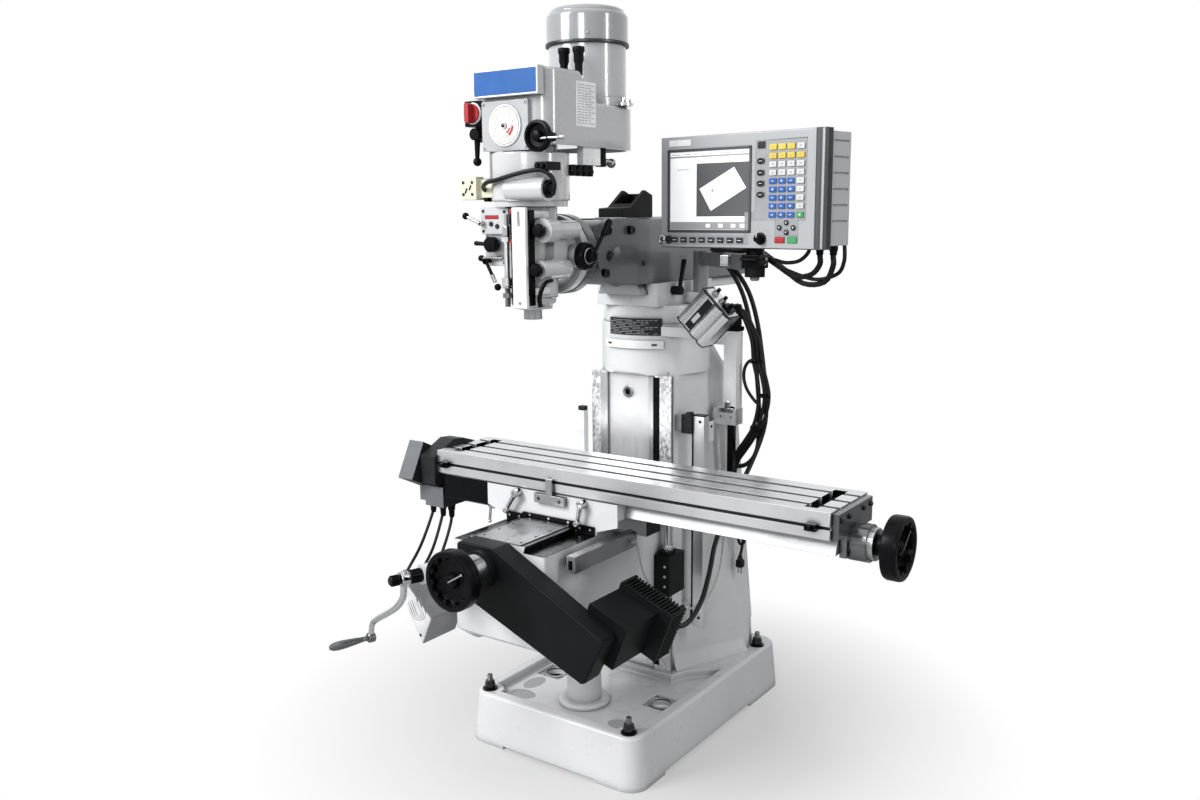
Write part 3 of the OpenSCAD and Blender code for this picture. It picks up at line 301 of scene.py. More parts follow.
# Each finish: how it is made, its name, its colour, the record's slot it belongs to, and its own settings.
FINISH, SLOT = {}, {}
for kind, name, colour, slot, more in (
        (enamel, "light_enamel", (0.7, 0.715, 0.73), "light_paint", {"coat": 0.25}),
        (enamel, "head_enamel", (0.52, 0.53, 0.545), "light_paint",
         {"rough": 0.16, "cast": 1.0, "coat": 1.0}),
        (enamel, "grey_enamel", (0.4, 0.415, 0.43), "grey_paint",
         {"rough": 0.24, "cast": 0.3, "coat": 1.0}),
        (enamel, "ram_enamel", (0.115, 0.123, 0.13), "grey_paint",
         {"rough": 0.32, "cast": 0.4, "coat": 0.2}),
        (enamel, "pendant_grey", (0.37, 0.385, 0.4), "grey_paint",
         {"rough": 0.4, "cast": 0.1, "coat": 0.05}),
        (enamel, "pendant_edge", (0.045, 0.05, 0.056), "grey_paint",
         {"rough": 0.42, "cast": 0.1, "coat": 0.03}),
        (ground, "table_steel", (0.72, 0.73, 0.74), "ground_steel", {"rough": 0.32, "relief_by": 0.12}),
        (ground, "turned_steel", (0.42, 0.43, 0.44), "ground_steel",
         {"lines": (420, 420, 420), "rough": 0.2}),
        (ground, "upright_steel", (0.68, 0.69, 0.7), "ground_steel",
         {"lines": (420, 420, 5), "rough": 0.28}),
        (ground, "lengthwise_steel", (0.42, 0.43, 0.44), "ground_steel",
         {"lines": (420, 5, 420), "rough": 0.3}),
        (ground, "dark_steel", (0.05, 0.05, 0.054), "black_steel",
         {"lines": (200, 200, 200), "rough": 0.34}),
        (enamel, "arm_enamel", (0.2, 0.21, 0.22), "grey_paint", {"rough": 0.26, "cast": 0.3, "coat": 0.4}),
        (powder, "motor_face", (0.13, 0.14, 0.15), "black_steel", {"rough": 0.4, "shine": 0.3}),
        (ground, "polished_cast", (0.16, 0.17, 0.175), "cast_face",
         {"lines": (30, 30, 30), "rough": 0.2, "relief_by": 0.5}),
        (enamel, "cap_enamel", (0.27, 0.28, 0.29), "grey_paint", {"rough": 0.2, "cast": 0.3, "coat": 1.0}),
        # the cross scale bar's white duct finish darkened to mid grey: painted shade
        (ground, "anodised_grey", (0.25, 0.26, 0.27), "white_duct",
         {"lines": (300, 8, 300), "rough": 0.3, "relief_by": 0.15}),
        (ground, "oiled_way", (0.075, 0.08, 0.083), "ground_steel",
         {"lines": (300, 6, 300), "rough": 0.22}),
        (ground, "oiled_plate", (0.3, 0.31, 0.32), "ground_steel",
         {"lines": (60, 6, 60), "rough": 0.3, "relief_by": 0.05}),
        (ground, "fluted_aluminium", (0.78, 0.79, 0.8), "finned_aluminium",
         {"lines": (60, 200, 60), "rough": 0.22, "relief_by": 0.15}),
        (ground, "cast_face", (0.42, 0.43, 0.44), "cast_face", {"lines": (60, 60, 60), "rough": 0.38}),
        (ground, "way_face", (0.74, 0.75, 0.76), "cast_face",
         {"lines": (120, 120, 4), "rough": 0.4, "relief_by": 0.15}),
        (flaked, "flaked_way", (0.7, 0.71, 0.72), "cast_face", {}),
        (plated, "chrome", (0.5, 0.51, 0.52), "chrome_lever", {"rough": 0.08}),
        (threaded, "bolt_thread", (0.3, 0.3, 0.31), "ground_steel", {"per_metre": 500}),
        (threaded, "screw_thread", (0.45, 0.46, 0.47), "ground_steel", {"per_metre": 250}),
        (moulded, "black_plastic", (0.004, 0.004, 0.005), "black_plastic", {"rough": 0.24, "shine": 0.07}),
        (powder, "black_powder", (0.0055, 0.0062, 0.0068), "black_steel", {"rough": 0.42, "shine": 0.1}),
        (powder, "slate_powder", (0.016, 0.0175, 0.019), "black_steel", {"rough": 0.4, "shine": 0.15}),
        (ground, "black_steel", (0.012, 0.012, 0.013), "black_steel",
         {"lines": (200, 200, 200), "rough": 0.34}),
        (ground, "extruded_aluminium", (0.8, 0.81, 0.82), "white_duct",
         {"lines": (300, 300, 8), "rough": 0.36}),
        (powder, "white_duct", (0.8, 0.81, 0.82), "white_duct", {"rough": 0.4}),
        # the junction box's faces turned to the right, darker than its lid: painted shade
        (moulded, "box_body", (0.26, 0.27, 0.28), "white_duct", {"rough": 0.4, "shine": 0.3}),
        (moulded, "box_plastic", (0.66, 0.67, 0.68), "white_duct", {"rough": 0.34}),
        (jacket, "cable_rubber", (0.005, 0.005, 0.0055), "cable_rubber", {"shine": 0.2}),
        (jacket, "grey_jacket", (0.4, 0.41, 0.42), "cable_rubber", {"rough": 0.36}),
        (jacket, "pleat_cloth", (0.008, 0.009, 0.01), "cable_rubber", {"rough": 0.5, "shine": 0.12}),
        (moulded, "red_plastic", (0.36, 0.02, 0.025), "red_plastic", {"rough": 0.3, "shine": 0.35}),
        (moulded, "green_plastic", (0.05, 0.3, 0.11), "green_plastic", {"rough": 0.3, "shine": 0.35}),
        (moulded, "dial_white", (0.62, 0.605, 0.58), "dial_white", {"rough": 0.34}),
        (moulded, "blue_plate", (0.02, 0.1, 0.33), "black_plastic", {"rough": 0.42, "shine": 0.2}),
        (moulded, "white_plate", (0.8, 0.81, 0.82), "dial_white", {"rough": 0.35}),
        (moulded, "black_plate", (0.012, 0.012, 0.014), "black_plastic", {"rough": 0.36, "shine": 0.25}),
        (moulded, "print_grey", (0.3, 0.31, 0.32), "black_steel", {"rough": 0.4}),
        (moulded, "print_white", (0.78, 0.79, 0.8), "dial_white", {"rough": 0.4}),
        (moulded, "ivory_block", (0.68, 0.66, 0.52), "dial_white", {"rough": 0.35}),
        (moulded, "key_yellow", (0.78, 0.52, 0.03), "key_mat", {"rough": 0.4, "shine": 0.3}),
        (moulded, "key_white", (0.6, 0.61, 0.6), "key_mat", {"rough": 0.4}),
        (moulded, "key_blue", (0.02, 0.1, 0.38), "key_mat", {"rough": 0.4, "shine": 0.3}),
        (moulded, "key_black", (0.02, 0.021, 0.024), "black_plastic", {"rough": 0.4, "shine": 0.2}),
        (moulded, "key_mat", (0.28, 0.29, 0.305), "key_mat", {"rough": 0.45}),
        (display, "screen_white", (0.9, 0.91, 0.92), "dial_white", {"glow": 0.3}),
        (display, "screen_dark", (0.1, 0.105, 0.11), "black_plastic", {"glow": 0.05}),
        (display, "screen_bar", (0.34, 0.35, 0.36), "black_plastic", {"glow": 0.08})):
    FINISH[name] = kind(name, colour, **more)
    SLOT[name] = slot


# ---- shapes, in millimetres ----
def fitted(bm, shape, edge, steps):
    """Bevels the sharp edges of a new shape."""
    if edge > 0:
        rims = {e for v in shape for e in v.link_edges
                if len(e.link_faces) == 2 and e.calc_face_angle(0) > BEVELLED_OVER}
        made = bmesh.ops.bevel(bm, geom=list(rims), offset=edge, offset_type="OFFSET", affect="EDGES",
                               segments=steps, profile=0.5, material=-1, clamp_overlap=True)
        shape = list({v for v in shape if v.is_valid} | set(made["verts"]))
    return shape


def block(bm, x0, x1, y0, y1, z0, z1, edge=0.8, steps=2):
    shape = bmesh.ops.create_cube(bm, size=1)["verts"]
    bmesh.ops.scale(bm, vec=(x1 - x0, y1 - y0, z1 - z0), verts=shape)
    bmesh.ops.translate(bm, vec=((x0 + x1) / 2, (y0 + y1) / 2, (z0 + z1) / 2), verts=shape)
    return fitted(bm, shape, edge, steps)


def rod(bm, r, start, end, sides=40, edge=0.6, steps=2, r_end=None):
    start, end = Vector(start), Vector(end)
    along = end - start
    place = Matrix.Translation((start + end) / 2) @ along.to_track_quat("Z", "Y").to_matrix().to_4x4()
    shape = bmesh.ops.create_cone(bm, cap_ends=True, segments=sides, radius1=r,
                                  radius2=r if r_end is None else r_end,
                                  depth=along.length, matrix=place)["verts"]
    return fitted(bm, shape, edge, steps)


def ball(bm, r, spot):
    place = Matrix.Translation(spot)
    return bmesh.ops.create_uvsphere(bm, u_segments=28, v_segments=18, radius=r, matrix=place)["verts"]


def lathe(bm, outline, spot, axis, sides=56):
    """Turns an outline of (radius, distance along the axis) pairs round the axis through spot."""
    axis, spot = Vector(axis).normalized(), Vector(spot)
    out = axis.orthogonal().normalized()
    line = [bm.verts.new(spot + out * r + axis * h) for r, h in outline]
    ties = [bm.edges.new(pair) for pair in zip(line, line[1:])]
    before = set(bm.faces)
    bmesh.ops.spin(bm, geom=line + ties, cent=spot, axis=axis, angle=math.tau, steps=sides, use_merge=True,
                   use_duplicate=False)
    skin = [f for f in bm.faces if f not in before]
    shape = list({v for f in skin for v in f.verts} | {v for v in line if v.is_valid})
    bmesh.ops.remove_doubles(bm, verts=shape, dist=WELD)
    skin = [f for f in bm.faces if f not in before]
    bmesh.ops.recalc_face_normals(bm, faces=skin)
    return list({v for f in skin for v in f.verts})


def plate(bm, corners, drop, edge=0.6, steps=2):
    """A flat outline of points, given thickness by the vector drop."""
    face = bm.faces.new([bm.verts.new(c) for c in corners])
    made = bmesh.ops.extrude_face_region(bm, geom=[face])
    top = [g for g in made["geom"] if isinstance(g, bmesh.types.BMVert)]
    bmesh.ops.translate(bm, vec=drop, verts=top)
    shape = list({v for v in face.verts} | set(top)) if face.is_valid else top
    shape = list({w for v in shape for f in v.link_faces for w in f.verts})
    bmesh.ops.recalc_face_normals(bm, faces=list({f for v in shape for f in v.link_faces}))
    return fitted(bm, shape, edge, steps)


def moved(bm, shape, place):
    bmesh.ops.transform(bm, matrix=place, verts=[v for v in shape if v.is_valid])
    return shape


def swung(r, degrees):
    """The two sides of a point at radius r after a turn by degrees."""
    return r * math.cos(math.radians(degrees)), r * math.sin(math.radians(degrees))


def placed(spot, angle, axis):
    """Turns about an axis through the origin, then moves to spot."""
    return Matrix.Translation(spot) @ Matrix.Rotation(math.radians(angle), 4, axis)


def cap_screw(bm, spot, axis, r=5.0, tall=4.0, sides=24):
    """Socket head screw; spot is under its head and axis points out of it."""
    return lathe(bm, [(0, 0), (r, 0), (r, tall - 0.7), (r - 0.7, tall), (r * 0.56, tall),
                      (r * 0.5, tall - 0.8), (r * 0.5, tall * 0.35), (0, tall * 0.35)], spot, axis, sides)


def cap_screws(bm, spots, axis, r, tall, sides=24):
    for spot in spots:
        cap_screw(bm, spot, axis, r, tall, sides)


@contextmanager
def in_finish(bm, index):
    """What is added to the shape meanwhile gets the piece's finish of that number."""
    before = set(bm.faces)
    yield
    for f in bm.faces:
        if f not in before:
            f.material_index = index


def coloured(bm, rule):
    """Gives each face the finish whose number the rule says for the middle of the face."""
    for f in bm.faces:
        f.material_index = rule(f.calc_center_median())


# ---- pieces on their bodies ----
def shaded(data):
    """Smooth faces, with the sharp edges kept."""
    data.polygons.foreach_set("use_smooth", [True] * len(data.polygons))
    bm = bmesh.new()
    bm.from_mesh(data)
    for e in bm.edges:
        e.smooth = len(e.link_faces) == 2 and e.calc_face_angle(0) < CREASE
    bm.to_mesh(data)
    bm.free()


def put(item, body, finishes, bend, instead):
    """Links a finished item as a piece that rides on a body, or, given a bend, leaves it in place attached
    to no body.
    """
    for label in finishes:
        item.data.materials.append(FINISH[label])
    bpy.context.scene.collection.objects.link(item)
    if bend:
        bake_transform(item)
    else:
        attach(item, body)
    if instead:
        stand_in(item, instead)
    return item


def stand_in(item, node):
    """Puts a finished piece in place of a CAD node, which gets its finish too."""
    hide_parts(node)
    nodes[node].data.materials.clear()
    for finish in item.data.materials:
        nodes[node].data.materials.append(finish)


def settle(bm, name, body, finish, slot=None, place=None, bend=None, instead=None):
    """Turns the millimetre shape into a piece."""
    if place is not None:
        bmesh.ops.transform(bm, matrix=place, verts=bm.verts)
    bmesh.ops.scale(bm, vec=(MM, MM, MM), verts=bm.verts)
    data = bpy.data.meshes.new(name)
    bm.to_mesh(data)
    bm.free()
    shaded(data)
    item = bpy.data.objects.new(name, data)
    item.modifiers.new("crisp", "WEIGHTED_NORMAL").keep_sharp = True
    return put(item, body, [finish] if isinstance(finish, str) else finish, bend, instead)


@contextmanager
def piece(name, body, finish, **more):
    """An empty shape to build in, settled when it is done."""
    bm = bmesh.new()
    yield bm
    settle(bm, name, body, finish, **more)


def folds(bm):
    """Corner points of triangles that lie turned over within their face."""
    spots = []
    for a, b, c in bm.calc_loop_triangles():
        p, q, r = a.vert.co, b.vert.co, c.vert.co
        across = (q - p).cross(r - p)
        if across.length > 0.5 and across.normalized().dot(a.face.normal) < 0.7:
            spots += [p.copy(), q.copy(), r.copy()]
    return spots


def eased(bm, width, cuts, wanted, tries=9):
    """Rounds the wanted edges, leaving out those whose rounding would fold a face."""
    shut, known = [], len(folds(bm))
    for _ in range(tries):
        trial = bm.copy()
        trial.normal_update()
        chosen = [e for e in trial.edges if wanted(e)
                  and not any((v.co - s).length < 1.6 * width for v in e.verts for s in shut)]
        bmesh.ops.bevel(trial, geom=chosen, offset=width, offset_type="OFFSET", affect="EDGES",
                        segments=cuts, profile=0.5, material=-1, clamp_overlap=False)
        trial.normal_update()
        bad = folds(trial)
        if len(bad) <= known:
            bm.free()
            return trial
        shut += bad
        trial.free()
    return bm


def sharper(e, angle):
    return len(e.link_faces) == 2 and e.calc_face_angle(0) > angle


def dressed(node, finish, edge=1.0, steps=2, zones=(), rounds=(), slot=None, bend=None, part=None,
            name=None):
    """A node's own solid, or a part of it, with its corners eased and each zone in its finish.

    A zone is a finish and a test of a face's middle and normal. A round is a width, its number of cuts and a
    test of an edge's middle and its two ends.
    """
    bm = bmesh.new()
    bm.from_mesh(nodes[node].data)
    bmesh.ops.scale(bm, vec=(1 / MM, 1 / MM, 1 / MM), verts=bm.verts)
    bmesh.ops.remove_doubles(bm, verts=bm.verts, dist=WELD)
    if part:
        bmesh.ops.delete(bm, geom=[v for v in bm.verts if not part(v.co)], context="VERTS")
    bmesh.ops.dissolve_limit(bm, angle_limit=math.radians(0.6), verts=bm.verts, edges=bm.edges,
                             delimit={"NORMAL"})
    bm.normal_update()
    for f in bm.faces:
        f.material_index = 0
        for n, (label, test) in enumerate(zones, 1):
            if test(f.calc_center_median(), f.normal):
                f.material_index = n
    for width, cuts, test in rounds:
        bm = eased(bm, width, cuts, lambda e: sharper(e, ROUNDED_OVER) and test(
            (e.verts[0].co + e.verts[1].co) / 2, e.verts[0].co, e.verts[1].co))
    if edge > 0:
        bm = eased(bm, edge, steps, lambda e: sharper(e, EASED_OVER) and e.calc_length() > 2.2 * edge
                   and all(f.calc_area() > 6 * edge * edge for f in e.link_faces))
    return settle(bm, name or node + "_finished", home[node], [finish, *(label for label, _ in zones)],
                  slot, bend=bend, instead=node)


def near(value, target, within=0.6):
    return abs(value - target) < within


def off_axis(spot, y, x=0):
    """How far a spot lies from an upright axis."""
    return math.hypot(spot.x - x, spot.y - y)


def line_through(points, steps):
    """A smooth line through a few points, as the cables' routes have."""
    p = [Vector(q) for q in points]
    line = []
    for i in range(len(p) - 1):
        a, b, c, d = p[max(i - 1, 0)], p[i], p[i + 1], p[min(i + 2, len(p) - 1)]
        slope, curve, twist = c - a, 2 * a - 5 * b + 4 * c - d, 3 * b - a - 3 * c + d
        for k in range(steps):
            t = k / steps
            line.append(0.5 * (2 * b + slope * t + curve * t * t + twist * t ** 3))
    return line + [p[-1]]


def cable(name, line, r, body, finish="cable_rubber", taper=None, around=3):
    """A round line of radius r, which may taper between two shares of r."""
    data = bpy.data.curves.new(name, "CURVE")
    data.dimensions = "3D"
    data.bevel_depth = r * MM
    data.bevel_resolution = around
    data.use_fill_caps = True
    run = data.splines.new("POLY")
    run.points.add(len(line) - 1)
    for n, q in enumerate(line):
        run.points[n].co = (*(Vector(q) * MM), 1)
        if taper:
            run.points[n].radius = taper[0] + (taper[1] - taper[0]) * n / (len(line) - 1)
    run.use_smooth = True
    return put(bpy.data.objects.new(name, data), body, [finish], None, None)


# ---- mains lead with its moulded plug, on the cord route of the part's source ----
LEAD = [(232, 212.3, 700), (232, 219, 700), (232, 226, 700), (236, 232, 660), (240, 234, 560),
        (243, 240, 522), (250, 246, 514), (258, 248, 530), (260, 248, 600), (258, 246, 680),
        (254, 250, 710), (250, 258, 700), (250, 262, 640), (248, 262, 560), (244, 258, 500),
        (242, 251, 476)]
LEAD_R = 4.5


def mains_lead():
    line = line_through(LEAD, 8)
    lead = cable("mains_lead", line, LEAD_R, "frame")
    sleeve_end = 22     # points of the line that the strain relief covers
    sleeve = cable("lead_sleeve", line[:sleeve_end], 5.2, "frame", taper=(1.7, 1.0))
    bm = bmesh.new()
    block(bm, 230.5, 253.5, 240.5, 261.5, 437, 462, edge=4, steps=3)
    lathe(bm, [(0, 461), (9.5, 461), (7.5, 468), (7.5, 470), (6.6, 471), (6.8, 473), (5.9, 474), (5.6, 477),
               (0, 477)], (242, 251, 0), UP, 24)
    # pins, then the finger ribs on both sides
    for x in (236, 248):
        block(bm, x - 1, x + 1, 247, 253, 418, 438, edge=0.4)
    rod(bm, 2.4, (242, 257, 415.2), (242, 257, 438), 20)
    for z in (442, 448, 454):
        block(bm, 230.1, 231, 243, 259, z, z + 2.5, edge=0.2)
        block(bm, 253, 253.9, 243, 259, z, z + 2.5, edge=0.2)
    coloured(bm, lambda c: 1 if c.z < 436.9 else 0)
    plug = settle(bm, "mains_plug", "frame", ["cable_rubber", "chrome"])
    stand_in(lead, "plug_cord")


mains_lead()

# ---- base and column ----
PAN_Z, RIM_Z = 126, 151
CORNER_X, CORNER_FRONT, CORNER_BACK, CORNER_R = 232, -363, 378, 51   # middles of the base's round corners
BOLT_X_FRONT, BOLT_Y_FRONT, BOLT_X_BACK, BOLT_Y_BACK = 245.5, -385, 258.5, 345
BOLTS = [(s * x, y) for s in SIDES for x, y in ((BOLT_X_FRONT, BOLT_Y_FRONT), (BOLT_X_BACK, BOLT_Y_BACK))]


def on_rim(m, a, b):
    """Outer upper edge of the base, round its corners too."""
    x = abs(m.x)
    straight = (x > 252 or m.y < -385 or m.y > 400) and (x > 286.5 or m.y < -417 or m.y > 432)
    in_corner = x > CORNER_X and any(math.hypot(x - CORNER_X, m.y - y) > CORNER_R for y, past in (
        (CORNER_FRONT, m.y < CORNER_FRONT), (CORNER_BACK, m.y > CORNER_BACK)) if past)
    return near(m.z, RIM_Z) and (straight or in_corner)


def base_pieces():
    dressed("base_casting", "light_enamel", edge=1.6, rounds=[
        (11, 4, on_rim),
        (6, 3, lambda m, a, b: near(m.z, PAN_Z) or near(m.z, RIM_Z) and abs(m.x) < 252
         and -390 < m.y < 100)])
    # covers over the drain recesses, and dark grey patches on the pan that are painted shadow
    with piece("drain_rings", "frame", "cast_face") as bm:
        for x in (-193, 193):
            ring = [(30, 121.2), (38, 121.2), (38, 123), (34, 124.4), (31.5, 124.4), (30, 123)]
            lathe(bm, ring, (x, -136, 0), UP, 48)
            for dx, dy in ((-34, -34), (34, 34), (-34, 34), (34, -34)):
                rod(bm, 4, (x + dx, -136 + dy, 117), (x + dx, -136 + dy, 121), 16, edge=0.8)
    # dark grey patches on the floor of the pan: painted shadow
    with piece("pan_shadow_patches", "frame", "pendant_grey") as bm:
        for x, y, rx, ry in ((-176, -318, 42, 28), (-196, -238, 26, 44), (176, -318, 42, 28)):
            rim = [(0, 125.6), (0.96, 125.6), (1, 126.2), (0.97, 126.6), (0, 126.7)]
            pad = lathe(bm, rim, (0, 0, 0), UP, 40)
            moved(bm, pad, Matrix.Translation((x, y, 0)) @ Matrix.Diagonal((rx, ry, 1, 1)))
    with piece("leveling_bolt_set", "frame", ["dark_steel", "bolt_thread", "black_steel"],
               instead="leveling_bolts") as bm:
        for x, y in BOLTS:
            lathe(bm, [(8.6, 151.05), (22, 151.05), (22, 154), (21, 155), (8.6, 155)], (x, y, 0), UP, 40)
            rod(bm, 16, (x, y, 155), (x, y, 170), 6, edge=1.4)
            rod(bm, 14, (x, y, 170.2), (x, y, 178), 6, edge=1.2)
            lathe(bm, [(0, 120), (7.9, 120), (7.9, 194), (6.6, 196), (0, 196)], (x, y, 0), UP, 28)
        coloured(bm, lambda c: (1 if min(off_axis(c, y, x) for x, y in BOLTS) < 9 else
                                2 if c.z < 155.1 else 0))
    dressed("screw_pedestal", "light_enamel", edge=2.0,
            rounds=[(9, 4, lambda m, a, b: near(m.z, 141) and off_axis(m, -250) > 60)])


def foot_flares():
    """Cast fillets that run the sides of the column out into the base."""
    arc = [(22 - swung(22, a)[1], 231 - swung(80, a)[0]) for a in range(0, 91, 10)]
    rim = [(-7, 149), (22, 149), *arc, (-7, 231)]
    with piece("column_foot_flares", "frame", "light_enamel") as bm:
        for s in SIDES:
            loops = []
            for x, y, lean in ((130, 34, 0.0), (233.7, 301, 0.08)):
                ring = [bm.verts.new((s * (x + 0.932 * out - lean * (z - RIM_Z)), y - 0.362 * out, z))
                        for out, z in rim]
                loops += [bm.edges.new(pair) for pair in zip(ring, ring[1:] + ring[:1])]
                bm.faces.new(ring)
            bmesh.ops.bridge_loops(bm, edges=loops)
        bmesh.ops.recalc_face_normals(bm, faces=bm.faces)


def on_neck(x, r):
    """Place of a flat thing that lies on the column's neck at radius r, x to the side."""
    a = math.asin(x / r)
    return placed((x, COLUMN_Y - math.cos(a) * r, 0), math.degrees(a), "Z")


def bent_plate(bm, x0, x1, inner, outer, z0, z1, edge=0.3):
    """A plate bent round the column neck between two sideways reaches."""
    steps = 18
    a0, a1 = math.asin(x0 / outer), math.asin(x1 / outer)
    turns = [a0 + (a1 - a0) * k / steps for k in range(steps + 1)]
    corners = [(math.sin(a) * r, COLUMN_Y - math.cos(a) * r, z0)
               for r, run in ((inner, turns), (outer, turns[::-1])) for a in run]
    return plate(bm, corners, (0, 0, z1 - z0), edge=edge)


def column_pieces():
    def on_way(c, n):
        return c.y < 9 and n.y < -0.5 and abs(c.x) < 142 and 151 < c.z < 1061

    dressed("column_casting", "light_enamel", edge=2.2,
            zones=[("way_face", lambda c, n: on_way(c, n) and abs(c.x) < 85.5),
                   ("flaked_way", lambda c, n: on_way(c, n) and abs(c.x) >= 85.5),
                   ("cast_face", lambda c, n: abs(c.x) > 110 and c.y < 31 and abs(n.x) > 0.3
                    and 151 < c.z < 1061)],
            rounds=[(13, 4, lambda m, a, b: near(m.z, 1062, 0.8) and off_axis(m, COLUMN_Y) > 160
                     and m.y < 20),
                    (7, 3, lambda m, a, b: abs(m.x) > 100 and abs(a.z - b.z) > 300 and m.y > 25)])
    # black strip between the middle panel and the right way: painted shadow of the groove
    with piece("way_groove_shadow", "frame", "black_plastic") as bm:
        block(bm, 79, 101, -0.3, 8.4, 168, 1057, edge=0.25)
    # plain ground bands beside the scraped strips
    with piece("way_ground_bands", "frame", "upright_steel", slot="cast_face") as bm:
        block(bm, -110, -84.6, -0.2, 8.4, 168, 1058, edge=0.15, steps=1)
        block(bm, 60, 78.6, 5.4, 8.4, 168, 1058, edge=0.15, steps=1)
    # plug in the ways with its socket
    with piece("way_plug", "frame", ["chrome", "black_steel"], slot="cast_face") as bm:
        lathe(bm, [(0, 9), (17, 9), (17, 3.4), (15.4, 1.8), (10.2, 1.8), (8.6, 3.4), (8.4, 7), (0, 7)],
              (-13, 0, 1005), BACK, 48)
        coloured(bm, lambda c: 1 if math.hypot(c.x + 13, c.z - 1005) < 8.7 else 0)
    # bare plate with plain rules and the slotted bar below it, both bent round the neck
    with piece("column_plate", "frame", "black_plate") as bm:
        bent_plate(bm, -66, 102, 166.2, 167.6, 1179, 1229)
    with piece("column_plate_rules", "frame", "print_grey", slot="dial_white") as bm:
        for row in range(9):
            z = 1223 - row * 4.9
            for k in range(13 - (row * 5) % 4):
                if (row * 3 + k) % 7:
                    rule = block(bm, -5.4, 5.4, -0.3, 0.3, z - 0.75, z + 0.75, edge=0)
                    moved(bm, rule, on_neck(-57 + k * 12, 167.7))
    with piece("column_bar", "frame", ["white_duct", "dark_steel"]) as bm:
        bent_plate(bm, -78, 112, 166.2, 177, 1140, 1165, edge=3)
        with in_finish(bm, 1):
            for x in (-58, 88):
                moved(bm, block(bm, -8, 8, -1.0, 1.2, 1150, 1156, edge=2.4), on_neck(x, 177))


def side_pieces():
    dressed("z_scale_bar", "extruded_aluminium", edge=1.0)
    # black lip and end cover of the upright scale, with its screws
    with piece("upright_scale_trim", "frame", "black_steel") as bm:
        block(bm, 186, 190.5, 43.6, 45.4, 310, 940, edge=0.4)
        block(bm, 185.6, 224.4, 45.6, 74.4, 944.6, 948.5, edge=0.8)
        cap_screws(bm, [(212, 45.2, z) for z in (930, 330)], FRONT, 4, 3)
    with piece("upright_scale_reader", "frame", "slate_powder") as bm:
        block(bm, 155, 188, 33, 60, 893, 949, edge=1.5)
        block(bm, 172, 187, 31, 52, 944, 957, edge=1.2)
        cap_screws(bm, [(163, 33.2, z) for z in (905, 937)], FRONT, 3.6, 2.4)
    with piece("duct_bracket_plate", "frame", ["white_duct", "black_steel"]) as bm:
        block(bm, 176, 181, 106, 186, 846, 908, edge=1.0)
        block(bm, 128, 178, 112, 118, 850, 904, edge=1.0)
        cap_screws(bm, [(181, 122, 893), (181, 122, 862), (181, 168, 893)], RIGHT, 4.5, 2)
        coloured(bm, lambda c: 1 if c.x > 181.05 else 0)
    dressed("cable_duct", "white_duct", edge=1.4,
            zones=[("black_steel", lambda c, n: c.z > 1188.5 or c.z < 899.5 and c.x > 221 and c.y > 190),
                   ("extruded_aluminium", lambda c, n: 899 < c.z < 949.5)])
    # ribbed elbow over the duct and the collar under it
    with piece("duct_elbow", "frame", "black_plastic") as bm:
        for k in range(9):
            lathe(bm, [(18, 0), (22, 0.8), (22, 4.2), (18, 5)], (236, 205, 1196 + k * 7), UP, 32)
        block(bm, 214, 258, 183, 227, 1183, 1196, edge=2.5)
        block(bm, 214, 250, 184, 222, 942, 958, edge=2)
    with piece("duct_screws", "frame", "chrome") as bm:
        cap_screws(bm, [(x, 182, 925) for x in (205, 240)], FRONT, 4, 2)
        block(bm, 196, 248, 180.4, 184, 938, 952, edge=1.4)
        block(bm, 216, 236, 181, 190, 950, 972, edge=3)


def drive_section(grow):
    """Outline of the drive box with its three hollow flutes, grown by a rim."""
    line = [(-58 - grow, 45 + grow), (-58 - grow, -14 - grow), (-55, -19 - grow)]
    for x0, x1, deep in ((-52, -25, 3.0), (-2, 27, 4.0), (31, 56, 4.0)):
        line += [(x0, -16 - grow)]
        line += [(x0 + (x1 - x0) * k / 6, -18 - grow - deep * math.sin(math.pi * k / 6))
                 for k in range(1, 6)]
        line += [(x1, -16 - grow)]
        if x0 == -52:
            line += [(-24, -19 - grow), (-3, -19 - grow)]
    return line + [(58 + grow, -14 - grow), (58 + grow, 45 + grow)]


